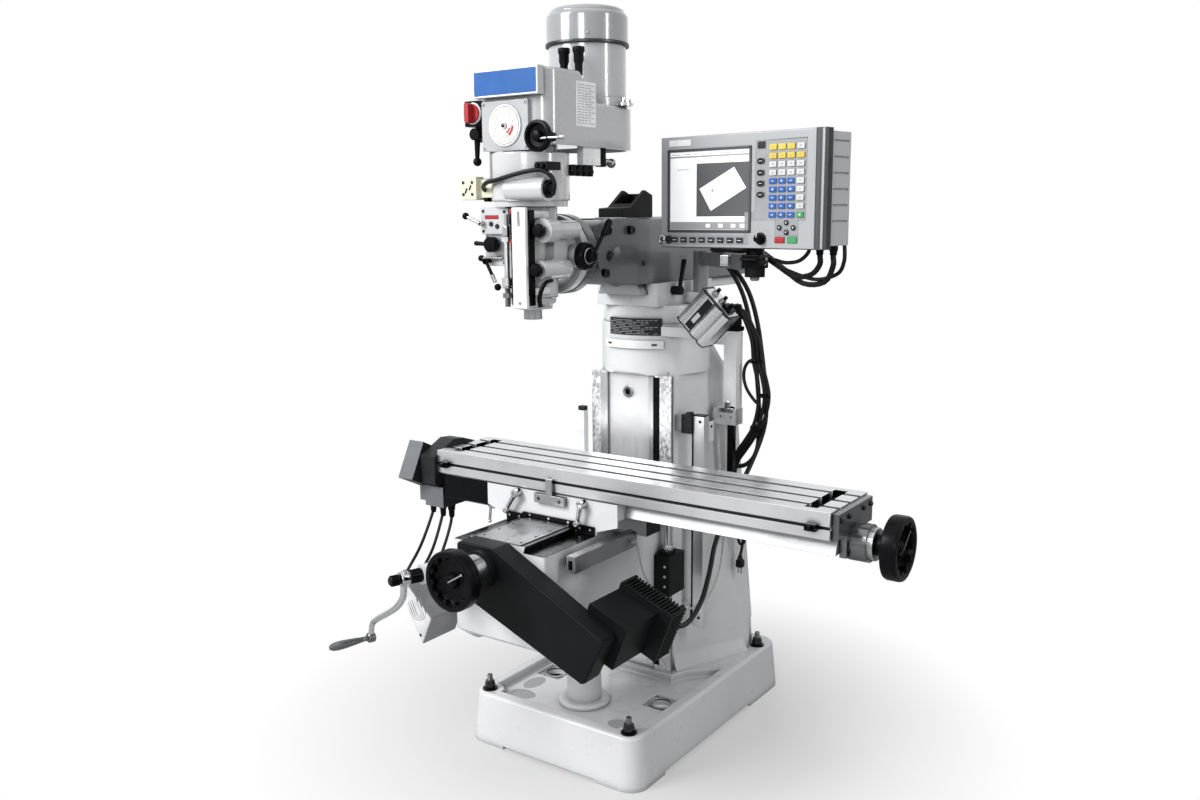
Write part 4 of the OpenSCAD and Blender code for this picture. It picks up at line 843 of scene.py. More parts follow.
def drive_pieces():
    """Fluted aluminium drive box, its flutes running up to the right."""
    with piece("drive_box", "frame", "fluted_aluminium", place=DRIVE, instead="drive_enclosure") as bm:
        plate(bm, [(x, y, -57) for x, y in drive_section(0)], (0, 0, 114), edge=0)
        for x in (-45, -38, -32, 6, 13, 20, 38, 44, 50):
            block(bm, x - 0.6, x + 0.6, -22.4, -19, -56, 56, edge=0.3, steps=1)
    with piece("drive_end_frames", "frame", "black_plate", slot="black_steel", place=DRIVE) as bm:
        for z0, z1 in ((-60.5, -57), (57, 60.5)):
            plate(bm, [(x, y, z0) for x, y in drive_section(1.2)], (0, 0, z1 - z0), edge=0.5)
        block(bm, -24, -3, -19.8, -18.4, -52, 52, edge=0.3)
        for x in (-57, 57):
            block(bm, x - 2.4, x + 2.4, 44, 47, -54, 54, edge=0.8)
    with piece("drive_end_faces", "frame", "extruded_aluminium", slot="finned_aluminium",
               place=DRIVE) as bm:
        for z in (-61.4, 60.4):
            block(bm, -52, 52, -11, 42, z, z + 1.1, edge=0.4)
    with piece("drive_label_field", "frame", "white_plate", place=DRIVE) as bm:
        block(bm, -20, -7, -20.3, -19.4, -30, 2, edge=0.2)
    with piece("drive_glands", "frame", "chrome", place=DRIVE) as bm:
        cap_screws(bm, [(x, y, 61.4) for x in (-48, 48) for y in (-8, 39)], UP, 3.6, 2)
        for x in (-30, 0):
            rod(bm, 8, (x, 14, 61), (x, 14, 74), 24, edge=1)
            rod(bm, 10.5, (x, 14, 63), (x, 14, 69), 6, edge=1)
    with piece("drive_plugs", "frame", "black_plastic", place=DRIVE) as bm:
        block(bm, 12, 44, -2, 30, 61.2, 72, edge=2)
        rod(bm, 6, (28, 14, 71), (28, 14, 84), 24, edge=1.5)
        for x in (-30, 0):
            rod(bm, 5.5, (x, 14, 73), (x, 14, 84), 24, edge=1)
    with piece("drive_bracket", "frame", "light_enamel") as bm:
        block(bm, 100, 222, 8, 38, 1178, 1206, edge=2)


# Each cable of the bundle: its reach to the right and back from the first one, and its radius.
BUNDLE = ((0, 0, 6.2), (11, 4, 5.4), (-4, 12, 5.6), (8, 14, 4.6), (20, 8, 5.2))
# The first cable's route, with the shares of the reaches that the others keep at each point.
BUNDLE_ROUTE = ((252, 0.5, 216, 1, 1236), (268, 0.7, 222, 1, 1200), (284, 1, 226, 1, 1150),
                (290, 1.1, 226, 1, 1092), (303, 1.3, 226, 1, 1040), (309, 1.5, 226, 1, 990),
                (304, 1.3, 226, 1, 935), (288, 1, 226, 1, 885), (264, 1, 226, 1, 846),
                (240, 1, 228, 1, 812), (222, 0.6, 232, 0.5, 770), (214, 0.4, 232, 0.4, 700))
LOOP_ROUTE = [(300, 222, 1098), (282, 214, 1094), (268, 212, 1072), (266, 212, 1040), (276, 214, 1008),
              (296, 220, 978), (312, 226, 962)]


def cable_bundle():
    """Cables strapped together down the right side of the column."""
    for n, (dx, dy, r) in enumerate(BUNDLE):
        route = [(236 + dx * 0.3, 214 + dy * 0.6, 1262 - n * 3)]
        route += [(x + dx * keep_x, y + dy * keep_y, z) for x, keep_x, y, keep_y, z in BUNDLE_ROUTE]
        cable("bundle_cable_%d" % n, line_through(route, 6), r, "frame", around=2)
    cable("bundle_loop", line_through(LOOP_ROUTE, 6), 5, "frame", around=2)
    with piece("bundle_straps", "frame", "black_plastic") as bm:
        for x, z, tip in ((298, 1092, 8), (320, 990, -2), (300, 885, -22)):
            strap = lathe(bm, [(20.5, -4), (21.8, -4), (21.8, 4), (20.5, 4)], (0, 0, 0), UP, 28)
            moved(bm, strap, placed((x, 233, z), -tip, "Y") @ Matrix.Diagonal((1, 0.66, 1, 1)))
            moved(bm, block(bm, -4, 4, -17, -11, -3, 3), Matrix.Translation((x, 233, z)))


def turret_pieces():
    dressed("turret", "light_enamel", edge=2.2,
            rounds=[(6, 3, lambda m, a, b: near(m.z, 1265, 0.8) and off_axis(m, COLUMN_Y) > 150)])
    with piece("turret_bolts", "turret_body", "dark_steel") as bm:
        for angle in (-142, -38, 38, 142):
            back, x = swung(130, angle)
            y = COLUMN_Y + back
            lathe(bm, [(0, 0), (17, 0), (17, 2.4), (16, 3), (0, 3)], (x, y, 1265), UP, 32)
            rod(bm, 13, (x, y, 1268), (x, y, 1279), 6, edge=1.2)
            rod(bm, 7.5, (x, y, 1279), (x, y, 1285), 24, edge=1)
    with piece("turret_scale_marks", "turret_body", "print_grey") as bm:
        for k in range(-30, 31):
            long = 9 if k % 10 == 0 else 6 if k % 5 == 0 else 4
            mark = block(bm, -0.4, 0.4, -0.25, 0.25, 1214, 1214 + long, edge=0)
            moved(bm, mark, on_neck(160.1 * math.sin(math.radians(3 * k)), 160.1))
    dressed("ram_lock_lever", "black_powder", edge=1.2)
    dressed("ram", "ram_enamel", edge=2.6,
            zones=[("cast_face", lambda c, n: 1299 < c.z < 1333 and abs(n.z) < 0.9 and c.y > -61)])
    dressed("ram_bracket", "black_powder", edge=1.5)
    dressed("nod_bolts", "black_steel", edge=0.7,
            zones=[("turned_steel", lambda c, n: near(c.y, -200, 17) and near(c.z, TILT_Z, 17))])
    with piece("nod_bolt_rims", "ram_body", "dark_steel") as bm:
        for y, up in ((-253, 60), (-264, -52), (-140, 60)):
            for s in SIDES:
                rim = [(8.4, 0), (11.6, 0), (11.6, 1.4), (8.4, 1.4)]
                lathe(bm, rim, (s * 101.2, y, TILT_Z + up), s * RIGHT, 32)
    # worm shaft end and pivot cover on the right cheek
    with piece("ram_side_plugs", "ram_body", "dark_steel") as bm:
        lathe(bm, [(0, 82), (13.6, 82), (13.6, 88), (11, 90.6), (6, 90.6), (5, 88), (0, 88)],
              (0, -240, 1418), RIGHT, 32)
        rod(bm, 5, (84, -235, 1416), (93.5, -224, 1426), 20)
        for y, z in ((-150, 1470), (-60, 1392)):
            lathe(bm, [(0, -1), (9, -1), (9, 1.4), (7, 2.4), (0, 2.4)], (84, y, z), RIGHT, 28)
    dressed("head_adapter", "polished_cast", edge=2.5, slot="light_paint")
    with piece("tilt_bolts", "adapter_body", "dark_steel") as bm:
        for angle in range(20, 380, 60):
            x, up = swung(92, angle)
            rod(bm, 8.5, (x, -310, TILT_Z + up), (x, -299, TILT_Z + up), 6, edge=0.8)
            rod(bm, 5, (x, -299, TILT_Z + up), (x, -292.5, TILT_Z + up), 20)


base_pieces()
foot_flares()
column_pieces()
side_pieces()
drive_pieces()
cable_bundle()
turret_pieces()


# ---- head ----
def head_castings():
    dressed("head_casting", "head_enamel", edge=2.0,
            rounds=[(5, 3, lambda m, a, b: near(m.z, 1320) or near(m.z, 1303))])
    dressed("gear_housing", "head_enamel", edge=1.6,
            rounds=[(5, 3, lambda m, a, b: (near(m.z, 1562) or near(m.z, 1681))
                     and off_axis(m, QUILL_Y) > 97)])

    def on_belt_housing(m, a, b):
        """Edges of its top and floor, and the upright corners behind the nose."""
        corner = -399 < m.y < -317 and abs(m.x) > 60 and a.z != b.z and 1807 < m.z < 1881
        return ((near(m.z, 1880) or near(m.z, 1808) or corner) and (abs(m.x) > 100 or m.y > -120)
                and m.y > -529 and off_axis(m, MOTOR_Y) > 40)

    dressed("belt_housing", "grey_enamel", edge=1.2, rounds=[(9, 4, on_belt_housing)])
    dressed("motor_body", "grey_enamel", edge=1.5)
    dressed("motor_cap", "cap_enamel", edge=1.2, rounds=[
        (15, 6, lambda m, a, b: near(m.z, 2063) or near(m.z, 2052) and off_axis(m, MOTOR_Y) > 105)])
    dressed("motor_rotor", "dark_steel", edge=0, slot="ground_steel")
    with piece("motor_cap_rim", "head_body", "dark_steel") as bm:
        lathe(bm, [(101, 1966), (111.5, 1966), (112.2, 1968), (112.2, 1972), (111.5, 1974), (101, 1974)],
              (0, MOTOR_Y, 0), UP, 96)
    with piece("motor_clamp_bolt", "head_body", "chrome") as bm:
        for angle in (35, 155, 275):
            ahead, x = swung(109.4, angle)
            cap_screw(bm, (x, MOTOR_Y - ahead, 1990), (x, -ahead, 0), 4.5, 2.4)
        lathe(bm, [(0, 0), (26, 0), (26, 6), (24, 8), (14, 8), (12, 6), (12, 2), (0, 2)], (112, -200, 1809),
              UP, 32)
        block(bm, 90, 134, -206, -194, 1817, 1826, edge=3)
        rod(bm, 7, (112, -200, 1810), (112, -200, 1832), 24, edge=1.5)
    # the two black terminal sleeves in front of the motor
    with piece("motor_sleeves", "head_body", "black_plastic") as bm:
        for x in (47, 93):
            lathe(bm, [(0, 1872), (10, 1872), (10, 1900), (13, 1908), (13, 1926), (15.5, 1930),
                       (15.5, 1940), (14, 1942), (0, 1942)], (x, -372, 0), UP, 32)


def head_plates():
    for name, finish, box in (
            ("name_plate_border", "white_plate", (-101.5, 101.5, -552, -550.8, 1814.5, 1878.5)),
            ("name_plate", "blue_plate", (-98, 98, -552.8, -551.8, 1818, 1875)),
            ("belt_chart_plate", "white_plate", (115.6, 116.9, -417, -333, 1745, 1855))):
        with piece(name, "head_body", finish) as bm:
            block(bm, *box, edge=0.5)
    with piece("belt_chart_rules", "head_body", "print_grey") as bm:
        for row in range(15):
            z = 1846 - row * 6.6
            for k in range(5 - row % 2):
                y = -410 + k * 15
                block(bm, 116.8, 117.15, y, y + 10 + (row * 7 + k * 3) % 4, z - 1, z + 1, edge=0)


def dial_pieces():
    x, _, z = DIAL
    with piece("dial_pad_screws", "head_body", "chrome") as bm:
        cap_screws(bm, [(sx, -540, sz) for sx in (-79, 54) for sz in (1691, 1797)], FRONT, 3.4, 2)
    with piece("dial_bezel", "head_body", "white_plate") as bm:
        lathe(bm, [(46, 0), (50.5, 0), (50.5, 3), (49, 4.6), (47, 4.6), (46, 3.6)], (x, -540, z), FRONT, 72)
    dressed("speed_dial", "dial_white", edge=0.8)
    with piece("dial_marks", "dial_body", "print_grey") as bm:
        for k in range(48):
            mark = block(bm, -0.35, 0.35, -545.35, -544.8, 36 if k % 4 else 33, 40, edge=0)
            moved(bm, mark, placed(DIAL, k * 7.5, "Y"))
        for k in range(12):
            mark = block(bm, -2.6, 2.6, -545.3, -544.8, 27.6, 29.4, edge=0)
            moved(bm, mark, placed(DIAL, k * 30 + 12, "Y"))
    with piece("dial_sector", "dial_body", "red_plastic") as bm:
        for inner, outer, start, stop in ((17, 21, 108, 158), (24, 30, 92, 150)):
            rim = [swung(inner, a) for a in range(start, stop + 1, 5)]
            rim += [swung(outer, a) for a in range(stop, start - 1, -5)]
            plate(bm, [(x + side, -545.4, z + up) for up, side in rim], (0, 0.5, 0), edge=0)
    with piece("dial_hub", "dial_body", "dark_steel") as bm:
        lathe(bm, [(0, 0), (5, 0), (5, 1.6), (3.6, 2.4), (0, 2.4)], (x, -548.8, z), FRONT, 28)
    # variable speed wheel with its crank knob
    with piece("speed_wheel", "speed_wheel_body", "black_plastic", instead="speed_handwheel") as bm:
        lathe(bm, [(0, -552), (26, -552), (28, -551), (37, -551), (38, -553), (38, -563), (37, -565),
                   (31, -566), (29, -564), (26, -557), (15, -556), (13, -559), (12.5, -568.5), (10, -570),
                   (0, -570)],
              (106, 0, 1714), BACK, 56)
        rod(bm, 12, (106, -551, 1714), (106, -500, 1714), 32)
    with piece("speed_wheel_crank", "speed_wheel_body", "chrome") as bm:
        rod(bm, 3.4, (112, -562, 1708), (172, -562, 1708), 20)
        lathe(bm, [(0, 169), (3.6, 169), (6, 172), (6.2, 182), (5, 187.4), (0, 188)], (0, -562, 1708),
              RIGHT, 24)


def switch_pieces():
    dressed("brake_lever", "black_plastic", edge=0.8)
    dressed("drum_switch", "red_plastic", edge=2.2, steps=3)
    dressed("switch_box", "black_plastic", edge=2.0, zones=[("ivory_block", lambda c, n: c.z < 1640)])
    with piece("connector_screws", "head_body", "dark_steel") as bm:
        for x in (-163, -133):
            for z in (1611, 1581):
                lathe(bm, [(0, 0), (4.2, 0), (4.2, 1.2), (3, 1.8), (2, 1.8), (1.6, 0.8), (0, 0.8)],
                      (x, -530, z), FRONT, 20)
        for x, z in ((-154, 1590), (-140, 1598)):
            slit = block(bm, -2.2, 2.2, -1.4, 0.4, -7, 7, edge=0.5)
            moved(bm, slit, placed((x, -530, z), 28, "Y"))
    with piece("drum_switch_plate", "head_body", "white_plate") as bm:
        lathe(bm, [(0, 0), (27, 0), (27, 3), (25.5, 4.6), (24.6, 4.6), (0, 4.6)], (-147, -501.8, 1784),
              FRONT, 40)


def feed_pieces():
    dressed("feed_gearbox", "head_enamel", edge=1.8)
    with piece("feed_chart_field", "head_body", "red_plastic") as bm:
        block(bm, -92, -49, -529.6, -526.2, 1518.6, 1526.4, edge=0.5)
    with piece("gearbox_screws", "head_body", "dark_steel") as bm:
        cap_screws(bm, [(-28, -530, 1536), (-28, -530, 1492), (-98, -530, 1538), (-98, -530, 1488)], FRONT,
                   3.6, 2.6)
        cap_screws(bm, [(-38, -522, 1474), (-38, -522, 1408), (-92, -522, 1472)], FRONT, 3.4, 2.4)
        for x, z in ((-72, 1506), (-52, 1500)):
            lathe(bm, [(0, 0), (6, 0), (6, 2.4), (4.6, 4), (0, 4)], (x, -530, z), FRONT, 24)
    with piece("feed_lever_arm", "feed_lever_body", ["chrome", "black_plastic"],
               instead="feed_lever") as bm:
        rod(bm, 5, (-100, -544, 1508), (-100, -516, 1508), 24)
        rod(bm, 7, (-100, -544, 1508), (-100, -535, 1508), 28)
        rod(bm, 4.2, (-100, -540, 1508), (-143, -540, 1524), 24)
        with in_finish(bm, 1):
            ball(bm, 9, (-149, -540, 1526.4))
    with piece("trip_lever_arm", "trip_body", ["black_steel", "chrome", "black_plastic"],
               slot="chrome_lever", instead="trip_lever") as bm:
        rod(bm, 5, (-85, -545, 1412), (-85, -510, 1412), 24)
        rod(bm, 8, (-85, -545, 1412), (-85, -535, 1412), 32, edge=1.2)
        rod(bm, 4.4, (-82, -540, 1408), (-60, -540, 1370), 24)
        with in_finish(bm, 1):
            rod(bm, 5.6, (-64, -540, 1377), (-54, -540, 1360), 24, r_end=5)
        with in_finish(bm, 2):
            ball(bm, 9, (-46.5, -540, 1347.6))
    with piece("feed_knob_turned", "feed_knob_body", "black_plastic", instead="feed_knob") as bm:
        rod(bm, 6, (-63, -550, 1455), (-63, -510, 1455), 24)
        lathe(bm, [(0, -531), (15, -531), (19, -532), (20, -535), (20, -548), (18, -551.4), (10, -552),
                   (0, -552)],
              (-63, 0, 1455), BACK, 48)
        lathe(bm, [(0, 8), (5.4, 8), (5.2, 34), (6, 44), (5.6, 50), (3, 52.6), (0, 53)], (-63, -546, 1455),
              (-1, 0, 0.055), 24)
    with piece("feed_trip_rod", "head_body", ["chrome", "black_plastic"]) as bm:
        rod(bm, 4.6, (-40, -528, 1421), (-106, -528, 1419), 24)
        with in_finish(bm, 1):
            lathe(bm, [(0, 0), (6, 0), (8, 3), (8, 10), (5, 14), (0, 15)], (-103, -528, 1419), LEFT, 24)


def quill_pieces():
    # lever on the right with its hub
    hub = (0, -390, 1423)
    with piece("quill_lever", "quill_handle_body", ["black_plastic", "turned_steel"],
               instead="quill_handle") as bm:
        lathe(bm, [(0, 108.6), (33, 108.6), (36, 111), (36, 126), (32.5, 131), (22, 132.4), (15, 132.4),
                   (14, 134), (14, 147), (12, 150), (0, 150)], hub, RIGHT, 64)
        with in_finish(bm, 1):
            lathe(bm, [(17, 132.2), (20, 132.2), (21, 133.4), (20, 134.6), (17, 134.6), (16, 133.4)], hub,
                  RIGHT, 40)
        rod(bm, 5, (144, -390, 1423), (146, -346, 1479), 24)
        lathe(bm, [(0, 66), (6.4, 66), (8, 72), (9.6, 92), (9.8, 108), (7, 114), (0, 116)],
              (143.2, -390, 1423), (0.05, 0.615, 0.787), 32)
    with piece("clamp_knobs", "head_body", "black_plastic", instead="head_knobs") as bm:
        for x, y, z in ((94, -550, 1490), (89, -557, 1394)):
            lathe(bm, [(0, 17), (8, 17), (8, 12), (14.4, 10.4), (15.4, 8.6), (15.4, -3), (13.4, -6),
                       (8, -6.8), (0, -6.8)], (x, y, z), BACK, 32)
            for k in range(12):
                dx, dz = swung(15, 30 * k)
                rod(bm, 2.0, (x + dx, y - 3, z + dz), (x + dx, y + 8, z + dz), 8, edge=0)
    dressed("quill", "turned_steel", edge=1.0)
    dressed("spindle", "turned_steel", edge=0.8)
    # depth scale with its stop, at the left of it
    dressed("quill_scales", "upright_steel", edge=0.8,
            zones=[("white_duct", lambda c, n: c.x > 29 and c.y < -561),
                   ("bolt_thread", lambda c, n: off_axis(c, -545, -10) < 7.2 and c.z < 1352)])
    with piece("depth_scale_marks", "head_body", "print_grey") as bm:
        for k in range(46):
            z = 1330 + k * 3.6
            block(bm, 57, 62 if k % 5 else 66, -572.5, -571.9, z - 0.35, z + 0.35, edge=0)
    # black strips along both sides of the depth scale: painted shadow beside and behind it
    with piece("scale_shadow_strips", "head_body", "black_steel") as bm:
        block(bm, 72.2, 76.4, -560, -540, 1306, 1540, edge=1.0)
        block(bm, 21, 29.8, -566, -520, 1306, 1540, edge=1.2)
    with piece("scale_tabs", "head_body", "red_plastic") as bm:
        for z in (1536, 1462):
            block(bm, 20.4, 26, -568, -565.6, z - 6, z + 6, edge=0.4)
    with piece("depth_stop_sleeve", "head_body", "chrome") as bm:
        lathe(bm, [(0, 1474), (8.5, 1474), (10, 1476), (10, 1500), (8, 1503), (5, 1504), (5, 1530),
                   (0, 1530)],
              (-10, -545, 0), UP, 28)
        lathe(bm, [(7.2, 1346), (11, 1346), (12, 1347), (12, 1351), (7.2, 1351)], (-10, -545, 0), UP, 32)


HEAD_LEAD = [(-104, -505, 1586), (-97, -528, 1597), (-62, -556, 1608), (-20, -568, 1613), (35, -571, 1624),
             (80, -567, 1632), (114, -558, 1634), (136, -549, 1620), (143, -545, 1600), (137, -543, 1576)]
LOCK_LEVER = [(96, -500, 1366), (99, -528, 1362), (92, -536, 1346), (86, -538, 1322), (88, -536, 1302)]


def head_fittings():
    """Lead over the gear housing, its clamp and the fittings behind it."""
    cable("head_lead", line_through(HEAD_LEAD, 6), 5.6, "head_body")
    with piece("lead_clamp", "head_body", "black_steel") as bm:
        block(bm, 96, 134, -560, -505, 1634, 1654, edge=2)
        for x in (104, 120):
            lathe(bm, [(0, 0), (6, 0), (6, 5), (4.6, 6.4), (0, 6.4)], (x, -560, 1644), FRONT, 24)
        lathe(bm, [(15.6, 0), (21, 0), (22, 1.5), (22, 6), (20, 8), (15.6, 8)], (120, -540, 1590),
              RIGHT, 40)
        lathe(bm, [(0, -18), (13, -18), (13, 5), (9, 9), (0, 9)], (120, -540, 1590), RIGHT, 32)
        block(bm, -112, -98, -512, -486, 1562, 1632, edge=3)
    with piece("terminal_block", "head_body", "white_duct") as bm:
        block(bm, -85, -61, -544, -508, 1616, 1684, edge=5, steps=3)
        block(bm, 84, 105, -372, -296, 1652, 1698, edge=2)
        cap_screws(bm, [(105, y, 1662) for y in (-358, -334, -310)], RIGHT, 3.4, 2)
    with piece("terminal_glands", "head_body", "black_plastic") as bm:
        block(bm, 86, 103, -295.6, -268, 1650, 1698, edge=2)
        for y in (-410, -384, -358, -336):
            rod(bm, 9, (98, y, 1624), (98, y, 1652), 28, edge=2)
            rod(bm, 11, (98, y, 1632), (98, y, 1640), 6, edge=1.4)
    with piece("head_small_bolts", "head_body", "chrome") as bm:
        rod(bm, 9, (95, -268, 1664), (95, -228, 1660), 32, edge=2)
        rod(bm, 12, (95, -240, 1661.5), (95, -228, 1660), 32, edge=2)
        for angle in (15, 105, 195, 285):
            back, x = swung(56.5, angle)
            rod(bm, 4.2, (x, QUILL_Y + back, 1299.6), (x, QUILL_Y + back, 1303.4), 6, edge=0.5)
    cable("quill_lock_lever", line_through(LOCK_LEVER, 5), 5, "head_body", "black_steel", taper=(1.0, 1.3))


head_castings()
head_plates()
dial_pieces()
switch_pieces()
feed_pieces()
quill_pieces()
head_fittings()


# ---- knee, saddle and table ----
def handwheel(name, body, place, handle, node):
    """Black moulded wheel with a scalloped rim, a deep dish and a folding handle; its axis is x."""
    with piece(name, body, ["black_plastic", handle], place=place, instead=node) as bm:
        lathe(bm, [(60, -14), (63, -19.6), (70, -20), (75, -18), (77, -13), (77, 13), (75, 18), (70, 20),
                   (63, 19.6), (60, 15), (58, 2), (50, -3), (28, -5), (21, -3), (19, 6), (16, 9), (12, 9),
                   (12, -20), (22, -20), (26, -12), (58, -10)], (0, 0, 0), RIGHT, 72)
        lathe(bm, [(0, -20), (12.4, -20), (12.4, 10), (9, 12), (0, 12)], (0, 0, 0), RIGHT, 40)
        for k in range(12):
            rim = swung(62, 30 * k + 12)
            rod(bm, 9, (-8, *rim), (17, *rim), 24, edge=2.5, steps=3)
        with in_finish(bm, 1):
            rod(bm, 2.2, (13, -6, 0), (13, 46, 0), 20)
            rod(bm, 3.6, (13, 44, 0), (13, 51, 0), 20, edge=0.8)


def knee_castings():
    dressed("knee_casting", "light_enamel", edge=1.8,
            zones=[("oiled_way", lambda c, n: c.z > 687.5),
                   ("lengthwise_steel", lambda c, n: abs(n.y) > 0.9 and c.y > -32 and abs(c.x) > 139)],
            rounds=[(6, 3, lambda m, a, b: m.y < -300 and near(abs(m.x), 152) and m.z < 600)])
    # stepped cover plates over the cross screw
    with piece("screw_cover", "knee_body", "oiled_plate") as bm:
        block(bm, -74, 74, -619, -405, 705.2, 706.6, edge=0.5)
        block(bm, -74, 74, -619, -405, 705.2, 707.4, edge=0.4)
    with piece("screw_cover_screws", "knee_body", "dark_steel") as bm:
        cap_screws(bm, [(x, y, 707.2) for x in (-62, 62) for y in (-600, -540, -480)], UP, 4, 1.1, 20)
    with piece("knee_way_faces", "knee_body", "oiled_way") as bm:
        for x0, x1 in ((-150, -96), (96, 150)):
            block(bm, x0, x1, -616, -30, 688.1, 688.45, edge=0)
    # the bar is coloured mid grey though it is white like the duct: painted shade
    dressed("y_scale_bar", "anodised_grey", edge=1.0)
    # its end frames are coloured cast grey though they are white like the duct: painted shade
    with piece("cross_scale_trim", "knee_body", ["cast_face", "black_steel"], slot="white_duct") as bm:
        block(bm, 172.6, 199.4, -558.4, -554.6, 637.6, 679.4, edge=0.6)
        block(bm, 172.4, 199.6, -275.4, -272, 637.6, 679.4, edge=0.6)
        block(bm, 174, 198, -556, -274, 679.6, 681, edge=0.3)
        with in_finish(bm, 1):
            block(bm, 180, 192, -559.4, -557.8, 646, 670, edge=0.6)


def cross_drive():
    def beside_shaft(m):
        return math.hypot(m.x, m.z - CROSS_SCREW_Z) > 52

    dressed("y_belt_cover", "black_powder", edge=1.5, rounds=[
        (5, 3, lambda m, a, b: beside_shaft(m) and (near(m.y, -680) or abs(a.y - b.y) > 40
                                                    and -681 < m.y < -619))])
    dressed("y_motor", "black_powder", edge=1.0)


def junction_pieces():
    # its faces turned to the right are coloured darker grey: painted shade
    dressed("junction_box", "box_plastic", edge=1.4,
            zones=[("box_body", lambda c, n: n.x > 0.4 and c.y > -699)],
            rounds=[(6, 4, lambda m, a, b: near(m.y, -700) or abs(a.y - b.y) > 100 and m.x < -160)])
    # raised hoops on the lid of the junction box, coloured grey as painted shade along them, and its one
    # lock
    with piece("junction_lid_hoops", "knee_body", ["print_grey", "dark_steel"], slot="white_duct") as bm:
        for reach in (9, 17, 25):
            bow = [(-swung(reach, a)[0], 0, -10 - swung(reach * 0.7, a)[1]) for a in range(20, 180, 20)]
            hoop = [(-reach, 0, 30), (-reach, 0, -10), *bow, (reach, 0, -10), (reach, 0, 30)]
            for a, b in zip(hoop, hoop[1:]):
                moved(bm, rod(bm, 1.1, a, b, 8, edge=0), placed((-214, -699.9, 500), -24, "Y"))
        with in_finish(bm, 1):
            cap_screw(bm, (-207, -700, 432), FRONT, 4, 1.6, 20)
    with piece("junction_glands", "knee_body", "black_plastic") as bm:
        for down, y in ((0, -640), (6, -622), (12, -604)):
            lathe(bm, [(4.8, 0), (8, 0), (8, 5), (6.6, 7), (6.6, 12), (4.8, 12)],
                  (-263 - 0.15 * down, y, 546 - down), LEFT, 24)


CRANK_ARM = ((560, 0, 0), (561, 0, -24), (564, -3, -52), (570, -24, -80), (580, -62, -107),
             (590, -100, -131), (596, -122, -152), (597, -129, -189))


def crank_pieces():
    """Lift crank: shaft, knurled collar, arm boss, end knob, bent arm and turned grip."""
    dressed("knee_screw", "screw_thread", edge=0.8, zones=[("turned_steel", lambda c, n: c.z > 570)])
    with piece("crank_shaft", "crank_body", ["black_plastic", "chrome"], slot="chrome_lever", place=CRANK,
               instead="knee_crank") as bm:
        rod(bm, 12, (360, 0, 0), (596, 0, 0), 40)
        for x0, x1, r in ((511, 545, 17), (574, 600, 13)):
            lathe(bm, [(0, x0), (r - 2, x0), (r, x0 + 2), (r, x1 - 3), (r - 3, x1), (0, x1)], (0, 0, 0),
                  RIGHT, 40)
            for k in range(18):
                knurl = swung(r, 20 * k)
                rod(bm, 1.5, (x0 + 3, *knurl), (x1 - 4, *knurl), 6, edge=0)
        with in_finish(bm, 1):
            lathe(bm, [(12, 548), (17, 548), (19, 551), (19, 569), (17, 572), (12, 572)], (0, 0, 0),
                  RIGHT, 48)
            lathe(bm, [(12, 500), (15, 500), (15, 510), (12, 510)], (0, 0, 0), RIGHT, 40)
            rod(bm, 4.4, (560, 6, 14), (560, 8, 26), 20, edge=1.4)
    with piece("crank_grip", "crank_body", "polished_cast", slot="chrome_lever", place=CRANK) as bm:
        lathe(bm, [(0, 588), (11, 588), (13.4, 590.4), (13.4, 605), (11, 608), (7, 609), (6.4, 616),
                   (7.2, 626), (9.4, 646), (11.4, 672), (11.8, 690), (10, 705), (6, 713), (0, 715)],
              (0, -129, -189), RIGHT, 40)
    arm = [CRANK @ Vector(q) for q in CRANK_ARM]
    cable("crank_arm", line_through(arm, 7), 8, "crank_body", "chrome", taper=(1.15, 0.9), around=5)


def cross_wheel_pieces():
    turned = placed((0, -788, CROSS_SCREW_Z), 90, "Z") @ Matrix.Rotation(math.radians(-31), 4, "X")
    handwheel("cross_wheel", "y_wheel_body", turned @ Matrix.Rotation(math.pi, 4, "Z"), "chrome",
              "y_handwheel")

    def dial_finish(f):
        c = f.calc_center_median()
        if c.y > -620:
            return 1
        on_rim = math.hypot(c.x, c.z - CROSS_SCREW_Z) > 44.9
        return 2 if on_rim and len(f.verts) == 4 and f.calc_area() < 6 else 0

    with piece("cross_dial", "y_wheel_body", ["turned_steel", "screw_thread", "dark_steel"]) as bm:
        lathe(bm, [(0, -770), (26, -770), (26, -745), (42, -745), (45, -743), (45, -706), (44, -703),
                   (0, -703)],
              (0, 0, CROSS_SCREW_Z), BACK, 72)
        rod(bm, 12, (0, -703, CROSS_SCREW_Z), (0, -92, CROSS_SCREW_Z), 40)
        for k in range(60):
            mark = block(bm, -0.35, 0.35, -742, -736 if k % 5 else -732, 44.8, 45.3, edge=0)
            moved(bm, mark, placed((0, 0, CROSS_SCREW_Z), k * 6, "Y"))
        for f in bm.faces:
            f.material_index = dial_finish(f)


def knee_fittings():
    # way oil pump on the knee's side with its rod
    with piece("way_oil_pump", "knee_body", ["black_powder", "chrome"]) as bm:
        block(bm, 151, 204, -112, -24, 440, 560, edge=3, steps=3)
        block(bm, 160, 196, -104, -60, 560, 572, edge=2)
        with in_finish(bm, 1):
            cap_screws(bm, [(190, -112, z) for z in (470, 500, 530)], FRONT, 4.5, 3)
            rod(bm, 12, (178, -78, 570), (178, -78, 676), 32, edge=2)
            lathe(bm, [(12, 0), (16, 0), (16, 10), (14, 12), (12, 12)], (178, -78, 572), UP, 32)
    # stay on the right, and the post that stands on the knee at the left
    with piece("knee_post", "knee_body", ["white_duct", "slate_powder"]) as bm:
        block(bm, 150, 170, -60, -32, 626, 640, edge=1)
        block(bm, -172, -148, -34, -12, 689, 940, edge=1.2)
        block(bm, -184, -171, -30, -18, 905, 921, edge=1.0)
        block(bm, -174, -143, -36, -8, 688, 697, edge=1.0)
        with in_finish(bm, 1):
            block(bm, -171, -149, -33, -13, 939, 953, edge=1.0)


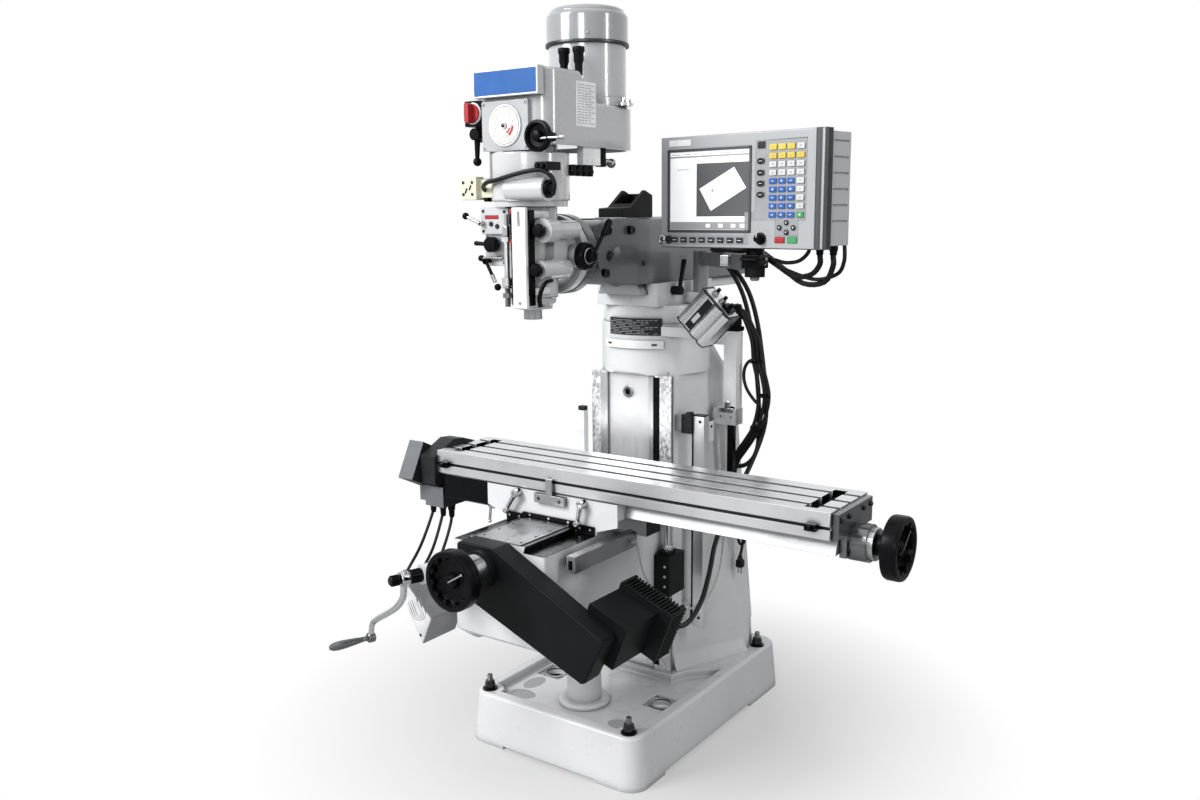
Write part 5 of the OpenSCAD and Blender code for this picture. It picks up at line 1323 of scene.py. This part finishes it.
def held_cables():
    """Cables that are held at both ends, each left in place between the bodies of its ends, attached to
    neither.
    """
    dressed("axis_cables", "cable_rubber", edge=0, part=lambda v: v.x < 0, name="motor_leads",
            bend=("saddle_body", "table_body", (-0.335, -0.59, 0.62), (-0.455, -0.36, 0.72)))
    dressed("axis_cables", "grey_jacket", edge=0, part=lambda v: v.x > 0,
            bend=("knee_body", "frame", (0, -0.1, 0), (0, 0.16, 0)))
    dressed("pendant_cables", "cable_rubber", edge=0,
            bend=("frame", "turret_body", (0, 0, 1.08), (0, 0, 1.36)))


def saddle_pieces():
    def on_machined_face(c, n):
        end = near(c.z, TABLE_SCREW_Z, 25) and c.z > 741 and near(c.y, TABLE_Y, 78) and abs(c.x) < 222
        return c.z < 700.5 and abs(n.z) > 0.5 or end and abs(n.y) > 0.3

    dressed("saddle", "light_enamel", edge=1.4,
            zones=[("cast_face", on_machined_face),
                   ("turned_steel", lambda c, n: -415 < c.y < -403.9 and c.z > 755 and -45 < c.x < 59)],
            rounds=[(4, 3, lambda m, a, b: near(m.z, 721) or near(m.z, 700))])
    with piece("saddle_wiper", "saddle_body", ["black_plastic", "chrome"]) as bm:
        for box in ((-150, -92.5, -405.6, -400.2, 689.5, 713), (92.5, 150, -405.6, -400.2, 689.5, 713),
                    (-93, 93, -405.6, -400.2, 709, 719)):
            block(bm, *box)
        with in_finish(bm, 1):
            low, high = (-138, -104, 104, 138), (-66, 0, 66)
            cap_screws(bm, [(x, -405.6, z) for row, z in ((low, 704), (high, 714)) for x in row], FRONT,
                       3.6, 2, 20)
    with piece("centre_stop_screws", "saddle_body", "black_steel") as bm:
        cap_screws(bm, [(-28, -412, 768), (42, -412, 768)], FRONT, 4.6, 3.4)
    # small gib lock crank on the left
    with piece("gib_lock", "saddle_body", "chrome") as bm:
        rod(bm, 6, (-214, -380, 709), (-234, -380, 709), 28, edge=1)
        rod(bm, 4, (-229, -380, 709), (-231, -384, 668), 20)
        ball(bm, 5.6, (-231, -384, 665))
    # reader bracket of the cross scale, with its round cut
    with piece("reader_bracket", "saddle_body", ["arm_enamel", "black_steel"], slot="black_steel") as bm:
        cut = [(224, -262 + ahead, 738 - up) for ahead, up in (swung(27, a) for a in range(180, 89, -15))]
        plate(bm, [(224, -330, 702), (224, -396, 718), (224, -396, 738), *cut, (224, -262, 666),
                   (224, -286, 672)],
              (-9, 0, 0), edge=1)
        with in_finish(bm, 1):
            block(bm, 202, 225, -262, -192, 663, 738, edge=2)
    for side, x, tip in (("left", -106, -31), ("right", 117, -10)):
        with piece("lock_handle_" + side, side + "_lock_body", "chrome",
                   instead="lock_lever_" + side) as bm:
            lathe(bm, [(0, -400.6), (11, -400.6), (11, -424), (9, -426), (5, -426), (4.4, -423), (0, -423)],
                  (x, 0, 772), BACK, 36)
            rod(bm, 7, (x, -420, 770), (x + tip, -420, 724), 28, edge=1, r_end=5)
            lathe(bm, [(0, -412), (6.6, -412), (8, -414), (8, -428), (6.6, -430), (3.4, -430), (3, -428),
                       (0, -428)], (x + tip, 0, 720), BACK, 32)


def way_pleats():
    """Pleated way cover hung under the left half of the table."""
    x0, x1, count, deep = -388.5, -223, 40, 4.5
    front, back, floor, top = -398.5, -181.5, 714.5, 782.6
    bm = bmesh.new()
    line = [bm.verts.new((x0, y, z)) for y, z in ((front, top), (front, floor), (back, floor), (back, top))]
    rail = [bm.edges.new(pair) for pair in zip(line, line[1:])]
    for k in range(1, count + 1):
        fold = deep * (k % 2)
        fresh = bmesh.ops.extrude_edge_only(bm, edges=rail)["geom"]
        rail = [g for g in fresh if isinstance(g, bmesh.types.BMEdge)]
        for v in {v for e in rail for v in e.verts}:
            v.co.x += (x1 - x0) / count
            v.co.y = front + fold if v.co.y < TABLE_Y else back - fold
            v.co.z = floor + fold if v.co.z < 750 else top
    bmesh.ops.recalc_face_normals(bm, faces=bm.faces)
    pleats = settle(bm, "way_pleats", "saddle_body", "pleat_cloth",
                    bend=("saddle_body", "table_body", (-0.235, 0, 0), (-0.385, 0, 0)))
    wall = pleats.modifiers.new("wall", "SOLIDIFY")
    wall.thickness = 0.0014
    wall.offset = 0
    stand_in(pleats, "way_bellows")


def table_pieces():
    def on_rough_side(c, n):
        return c.z < 789.5 or c.z < 853 and near(c.y, TABLE_Y, 90) and -409 < c.x < 808

    def in_pocket(c, n):
        return 825 < c.z < 850 and (-370 < c.x < -334 or 733 < c.x < 768) and near(c.y, TABLE_Y, 91)

    dressed("table", "table_steel", edge=0.7, steps=1,
            zones=[("cast_face", on_rough_side), ("black_steel", in_pocket)])
    # black bottoms of the chip pockets
    with piece("pocket_floors", "table_body", "black_steel") as bm:
        for x in (-368, 735.2):
            block(bm, x + 0.6, x + 31.4, -379.4, -200, 829.1, 831, edge=0)
    with piece("stop_groove_floor", "table_body", "dark_steel") as bm:
        block(bm, -408, 807, -398.4, -397.3, 813.6, 820.4, edge=0)
    dressed("end_bracket", "polished_cast", edge=1.5, zones=[("turned_steel", lambda c, n: c.x > 865.5)],
            rounds=[(3, 3, lambda m, a, b: near(m.x, 867) or near(m.x, 883))])
    with piece("end_bracket_screws", "table_body", "dark_steel") as bm:
        spots = [(827, y, 834) for y in (-380, -334, -246, -200)] + [(827, y, 748) for y in (-328, -252)]
        cap_screws(bm, spots, RIGHT, 6, 4.5)
    with piece("table_dial_marks", "table_body", "dark_steel") as bm:
        for k in range(60):
            mark = block(bm, 871, 876 if k % 5 else 880, -0.35, 0.35, 39.8, 40.3, edge=0)
            moved(bm, mark, placed((0, TABLE_Y, TABLE_SCREW_Z), k * 6, "X"))
    dressed("x_belt_cover", "slate_powder", edge=1.4, rounds=[(4, 3, lambda m, a, b: near(m.x, -468))])
    dressed("x_motor", "slate_powder", edge=1.4, zones=[("motor_face", lambda c, n: n.y < -0.5)])
    with piece("motor_glands", "table_body", "black_plastic") as bm:
        for spot in ((-485, -350, 690), (-455, -340, 680), (-425, -335, 680)):
            lathe(bm, [(5, -46), (7, -46), (8.6, -38), (9, -24), (11, -22), (11, -12), (12.6, -11),
                       (12.6, -0.4), (5, -0.4)], spot, UP, 28)
    dressed("stop_dogs", "black_steel", edge=1.2)
    handwheel("table_wheel", "x_wheel_body", placed((930.2, TABLE_Y, TABLE_SCREW_Z), 40, "X"), "dark_steel",
              "x_handwheel")
    with piece("table_screw", "x_wheel_body", ["turned_steel", "screw_thread", "black_steel"]) as bm:
        rod(bm, 12, (-456, TABLE_Y, TABLE_SCREW_Z), (908, TABLE_Y, TABLE_SCREW_Z), 40)
        lathe(bm, [(12, 883.8), (26, 883.8), (26, 896), (24, 898), (18, 899), (18, 909), (12, 909)],
              (0, TABLE_Y, TABLE_SCREW_Z), RIGHT, 48)
        coloured(bm, lambda c: 1 if c.x < 700 else 2 if c.x > 883 else 0)


knee_castings()
cross_drive()
junction_pieces()
crank_pieces()
cross_wheel_pieces()
knee_fittings()
held_cables()
saddle_pieces()
way_pleats()
table_pieces()


# ---- pendant ----
KEY_COLUMNS = (106, 132, 158, 185)
KEY_ROWS = (103, 82, 62, 42, 22, 2, -18, -38, -59)
SOFT_KEYS = [-201 + 30 * k for k in range(8)]      # below the screen
SIDE_KEYS = (71, 43, 17, -10)                      # beside the screen
ARROW_KEYS = ((147, -78), (127, -90), (167, -90), (147, -101))


def key_finish(row, column):
    last = column == len(KEY_COLUMNS) - 1
    if row == 0:
        return "key_white" if last else "key_yellow"
    if row == 1:
        return "key_yellow"
    if row in (2, 3):
        return "key_white"
    if last:
        return "green_plastic" if row == len(KEY_ROWS) - 1 else "key_white"
    return "key_blue"


KEYS = [(x, z, r + c, key_finish(r, c)) for r, z in enumerate(KEY_ROWS) for c, x in enumerate(KEY_COLUMNS)]


def pendant_piece(name, finish, slot=None, body="pendant_body", instead=None):
    return piece(name, body, finish, slot=slot, place=PENDANT, instead=instead)


def pendant_shell():
    level = PENDANT.inverted()

    def at(c):
        return level @ Vector(c)

    dressed("pendant_arm", "arm_enamel", edge=1.6,
            zones=[("black_powder", lambda c, n: off_axis(c, -130, 470) < 28)])
    dressed("pendant_housing", "pendant_grey", edge=1.6,
            zones=[("black_steel", lambda c, n: at(c).z < -142 and c.z < 1441),
                   ("pendant_edge", lambda c, n: at(c).x > 236 and at(c).y < 37)],
            rounds=[(4, 3, lambda m, a, b: near(at(m).y, 0)
                     and (abs(at(m).x) > 248 or abs(at(m).z) > 141))])
    # frame of the screen and the rounded band down the right edge
    with pendant_piece("screen_frame", "pendant_edge") as bm:
        for x0, x1, z0, z1 in ((-226, -219, -103, 110), (35, 42, -103, 110), (-226, 42, 103, 110),
                               (-226, 42, -103, -96)):
            block(bm, x0, x1, -2.6, 1, z0, z1, edge=1.2)
    with pendant_piece("pendant_end_cheek", "pendant_edge") as bm:
        bow = [(232 + swung(18, a)[1], 14 - swung(17, a)[0]) for a in range(0, 91, 10)]
        rim = [(226, 1), (226, -1.6), (228, -2.4), *bow, (250, 34), (246, 34), (246, 1)]
        plate(bm, [(x, y, -142) for x, y in rim], (0, 0, 284), edge=0)


def pendant_screen():
    for name, finish, y0, y1, areas in (
            ("screen_pane", "screen_white", 1.6, 3.9, [(-219, 35, -96, 103)]),
            ("screen_view", "screen_dark", 1.1, 1.7, [(-131, 33, -62, 72)]),
            ("screen_bars", "screen_bar", 1.1, 1.7, [(-218, 34, -95, -76), (-218, 34, 88, 92)])):
        with pendant_piece(name, finish) as bm:
            for x0, x1, z0, z1 in areas:
                block(bm, x0, x1, y0, y1, z0, z1, edge=0)
    with pendant_piece("screen_part", "screen_white") as bm:
        plate(bm, [(-121, 0.6, 8), (-12, 0.6, 60), (26, 0.6, 8), (-84, 0.6, -48)], (0, 0.5, 0), edge=0)
        for x in (-100, -60, -20, 8):
            block(bm, x, x + 14, 0.8, 1.15, -90, -81, edge=0)
    with pendant_piece("screen_lines", "screen_bar") as bm:
        block(bm, -81, -78, 0.2, 0.6, -2, 8, edge=0)
        block(bm, -84, -75, 0.2, 0.6, 2, 4, edge=0)
        for x, z, w in ((-196, 58, 40), (-214, 96, 30), (-176, 96, 26), (-140, 96, 34), (-90, 96, 24),
                        (-50, 96, 30), (-6, 96, 26)):
            block(bm, x, x + w, 1.1, 1.65, z - 0.8, z + 0.8, edge=0)
    with pendant_piece("badge_field", "white_plate") as bm:
        block(bm, -221, -149, -1.4, 0.6, 118, 134)
    with pendant_piece("port_cap", "chrome") as bm:
        lathe(bm, [(0, 0), (14, 0), (14, 4), (11.4, 8), (8, 9), (6.4, 7), (0, 7)], (-242, 0, -122),
              FRONT, 40)
    with pendant_piece("port_ring", "key_black") as bm:
        lathe(bm, [(0, 0), (11, 0), (11, 4), (8.6, 7), (0, 7)], (-221, 0, -122), FRONT, 30)


def bar(bm, x, z, half_x, half_z, y0=-3.45, y1=-3.1, edge=0):
    """A flat bar on the panel, given by its middle and half its sides."""
    block(bm, x - half_x, x + half_x, y0, y1, z - half_z, z + half_z, edge=edge)


def pendant_keys():
    dressed("keypad", "key_mat", edge=0)
    for name, finish in (("keys_yellow", "key_yellow"), ("keys_white", "key_white"),
                         ("keys_blue", "key_blue"), ("keys_green", "green_plastic")):
        with pendant_piece(name, finish, slot="key_mat") as bm:
            for x, z, _, label in KEYS:
                if label == finish:
                    bar(bm, x, z, 10.2, 6.7, -3.2, -1, edge=1.3)
    with pendant_piece("keys_black", "key_black", slot="key_mat") as bm:
        for z in SIDE_KEYS:
            rod(bm, 7, (66, -3, z), (66, -1, z), 24, edge=0.7)
            rod(bm, 7, (74, -3, z), (74, -1, z), 24, edge=0.7)
            bar(bm, 70, z, 4, 7, -3, -1, edge=0.5)
        block(bm, 60.4, 82, -3, -1, 101.4, 117.6, edge=1.2)
        for x in SOFT_KEYS:
            bar(bm, x, -122, 10, 6.6, -3, -1, edge=1.2)
        for x, z in ARROW_KEYS:
            lathe(bm, [(0, 1.2), (6.6, 1.2), (6.6, 2.4), (5.4, 3.2), (0, 3.4)], (x, 0, z), FRONT, 28)
    with pendant_piece("key_marks_light", "print_white") as bm:
        for x, z, place, label in KEYS:
            if label in ("key_blue", "green_plastic"):
                bar(bm, x, z, 3.4, 0.9)
                if place % 2:
                    bar(bm, x, z, 1, 3)
        for z in SIDE_KEYS:
            bar(bm, 70, z, 4, 0.7, -3.25, -2.9)
        for x in SOFT_KEYS:
            bar(bm, x, -122.2, 6, 0.8, -3.25, -2.9)
        for x, z in ARROW_KEYS:
            bar(bm, x, z, 1.6, 1.6, -3.65, -3.3)
    with pendant_piece("key_marks_dark", "print_grey") as bm:
        for x, z, _, label in KEYS:
            if label in ("key_yellow", "key_white"):
                bar(bm, x, z + 1.5, 4.6, 0.7)
                bar(bm, x, z - 1.7, 3, 0.7)


def pendant_knobs():
    """Override knob with its scale arc, and the two run keys."""
    x, z = 73, -117
    with pendant_piece("override_marks", "print_white") as bm:
        for k in range(-5, 6):
            mark = block(bm, -0.5, 0.5, -0.5, 0.2, 18, 21 if k % 5 else 23, edge=0)
            moved(bm, mark, placed((x, 0, z), k * 24, "Y"))
    with pendant_piece("override_grip", ["black_plastic", "print_white"], body="override_body",
                       instead="override_knob") as bm:
        lathe(bm, [(0, 0.6), (14, 0.6), (15, 1.6), (15, 4), (13.6, 5), (11, 5.4), (10, 8), (9.4, 18),
                   (8, 20), (0, 20)], (x, 0, z), FRONT, 48)
        for k in range(14):
            (dx, dz), (tip_x, tip_z) = swung(9.8, 360 / 14 * k), swung(9.2, 360 / 14 * k)
            rod(bm, 1.2, (x + dx, -8, z + dz), (x + tip_x, -18.4, z + tip_z), 6, edge=0)
        rod(bm, 5, (x, -1, z), (x, 11.6, z), 24)
        with in_finish(bm, 1):
            bar(bm, x, -110, 0.8, 4, -20.3, -19.8)
    dressed("start_key", "green_plastic", edge=1.4)
    dressed("stop_key", "red_plastic", edge=1.4)


# The two leads from the clamp up to the glands under the housing.
PENDANT_LEADS = (((516, -112, 1410), (546, -108, 1403), (580, -104, 1408), (604, -104, 1428),
                  (610, -104, 1449)),
                 ((516, -106, 1398), (556, -100, 1380), (620, -92, 1362), (676, -88, 1376),
                  (694, -88, 1408), (694, -88, 1449)))


def pendant_joint():
    """Joint under the pendant: clamp block, T lever, end button, glands and leads."""
    with piece("post_clamp", "arm_body", "black_plastic", slot="black_steel") as bm:
        block(bm, 444, 496, -158, -104, 1388, 1424, edge=3)
        rod(bm, 5, (470, -158, 1412), (470, -176, 1412), 24, edge=1)
        rod(bm, 4, (450, -174, 1412), (494, -174, 1412), 24, edge=1.4)
    with piece("post_end_button", "arm_body", "arm_enamel") as bm:
        lathe(bm, [(0, 1356), (9, 1356), (12.4, 1360), (12.4, 1371), (9, 1375), (8, 1377), (8, 1389),
                   (0, 1389)],
              (470, -130, 0), UP, 36)
    with piece("post_clamp_studs", "arm_body", "chrome") as bm:
        for z in (1412, 1398):
            rod(bm, 4, (496, -131, z), (503, -131, z), 20, edge=0.8)
        block(bm, 372, 398, -142, -122, 1392, 1422, edge=3)
    with piece("pendant_glands", "pendant_body", "black_plastic") as bm:
        for x in (640, 676):
            lathe(bm, [(7.4, 0), (11, 0), (11, 12), (9, 14), (9, 22), (7.4, 24)], (x, -113, 1447.6),
                  DOWN, 32)
    for n, route in enumerate(PENDANT_LEADS):
        cable("pendant_lead_%d" % n, line_through(route, 8), 5, "pendant_body")


pendant_shell()
pendant_screen()
pendant_keys()
pendant_knobs()
pendant_joint()


# ---- floor and light ----
def linked(name, data):
    item = bpy.data.objects.new(name, data)
    bpy.context.scene.collection.objects.link(item)
    return item


def pale_floor():
    """Round plain floor that fades to white at a distance, for the camera only."""
    bm = bmesh.new()
    bmesh.ops.create_circle(bm, cap_ends=True, segments=96, radius=14)
    data = bpy.data.meshes.new("floor")
    bm.to_mesh(data)
    bm.free()
    linked("floor", data)
    finish, tree, shader = blank("studio_floor", rough=0.6)
    paler = [(0.3, (0.52,) * 3), (0.7, (0.54,) * 3)]
    feed(tree, shader, {"Base Color": tones(tree, grain(tree, 2.0), paler)})
    white = add(tree, "ShaderNodeEmission", {"Color": (1, 1, 1, 1), "Strength": 1.0})
    far = add(tree, "ShaderNodeVectorMath", {0: spot_on(tree)}, operation="LENGTH")
    fade = spread(tree, far.outputs["Value"], 0.35, 1.0, 0.42, 1.15)
    camera_ray = tree.nodes.new("ShaderNodeLightPath").outputs["Is Camera Ray"]
    seen = add(tree, "ShaderNodeMath", {0: fade, 1: camera_ray}, operation="MULTIPLY")
    mixed = add(tree, "ShaderNodeMixShader", {
        "Fac": seen.outputs["Value"], 1: shader.outputs["BSDF"], 2: white.outputs["Emission"]})
    feed(tree, tree.nodes["Material Output"], {"Surface": mixed.outputs["Shader"]})
    data.materials.append(finish)


def white_world():
    """Even soft light, and plain white where the camera or a mirror looks past the machine."""
    world = bpy.data.worlds.new("studio")
    bpy.context.scene.world = world
    world.use_nodes = True
    tree = world.node_tree
    glow = tree.nodes["Background"]
    feed(tree, glow, {"Color": (1, 1, 1, 1), "Strength": 0.27})
    card = add(tree, "ShaderNodeBackground", {"Color": (1, 1, 1, 1), "Strength": 1.0})
    path = tree.nodes.new("ShaderNodeLightPath")
    seen = path.outputs["Is Camera Ray"]
    for kind in ("Is Glossy Ray", "Is Transmission Ray"):
        seen = add(tree, "ShaderNodeMath", {0: seen, 1: path.outputs[kind]},
                   operation="MAXIMUM").outputs["Value"]
    mixed = add(tree, "ShaderNodeMixShader", {
        "Fac": seen, 1: glow.outputs["Background"], 2: card.outputs["Background"]})
    feed(tree, tree.nodes["World Output"], {"Surface": mixed.outputs["Shader"]})


# Each lamp: where it hangs, what it looks at, its sides in metres and its power in watts.
LAMPS = (("front_softbox", (-1.9, -3.8, 3.6), (0, -0.2, 1.1), (1.8, 2.2), 240),
         ("top_softbox", (0.3, -0.6, 4.4), (0.1, -0.2, 1.0), (3.2, 3.2), 20),
         ("front_fill", (1.6, -4.6, 2.6), (0.1, 0, 1.2), (1.2, 1.2), 55),
         ("head_strip", (2.7, -0.1, 2.35), (0, -0.3, 1.9), (0.3, 1.3), 20))


def lamps():
    for name, spot, aim, size, power in LAMPS:
        lamp = bpy.data.lights.new(name, "AREA")
        lamp.shape = "RECTANGLE"
        lamp.size, lamp.size_y = size
        lamp.energy = power
        facing = (Vector(spot) - Vector(aim)).to_track_quat("Z", "Y").to_matrix().to_4x4()
        linked(name, lamp).matrix_world = Matrix.Translation(spot) @ facing


pale_floor()
white_world()
lamps()
bpy.context.scene.view_settings.view_transform = "Standard"
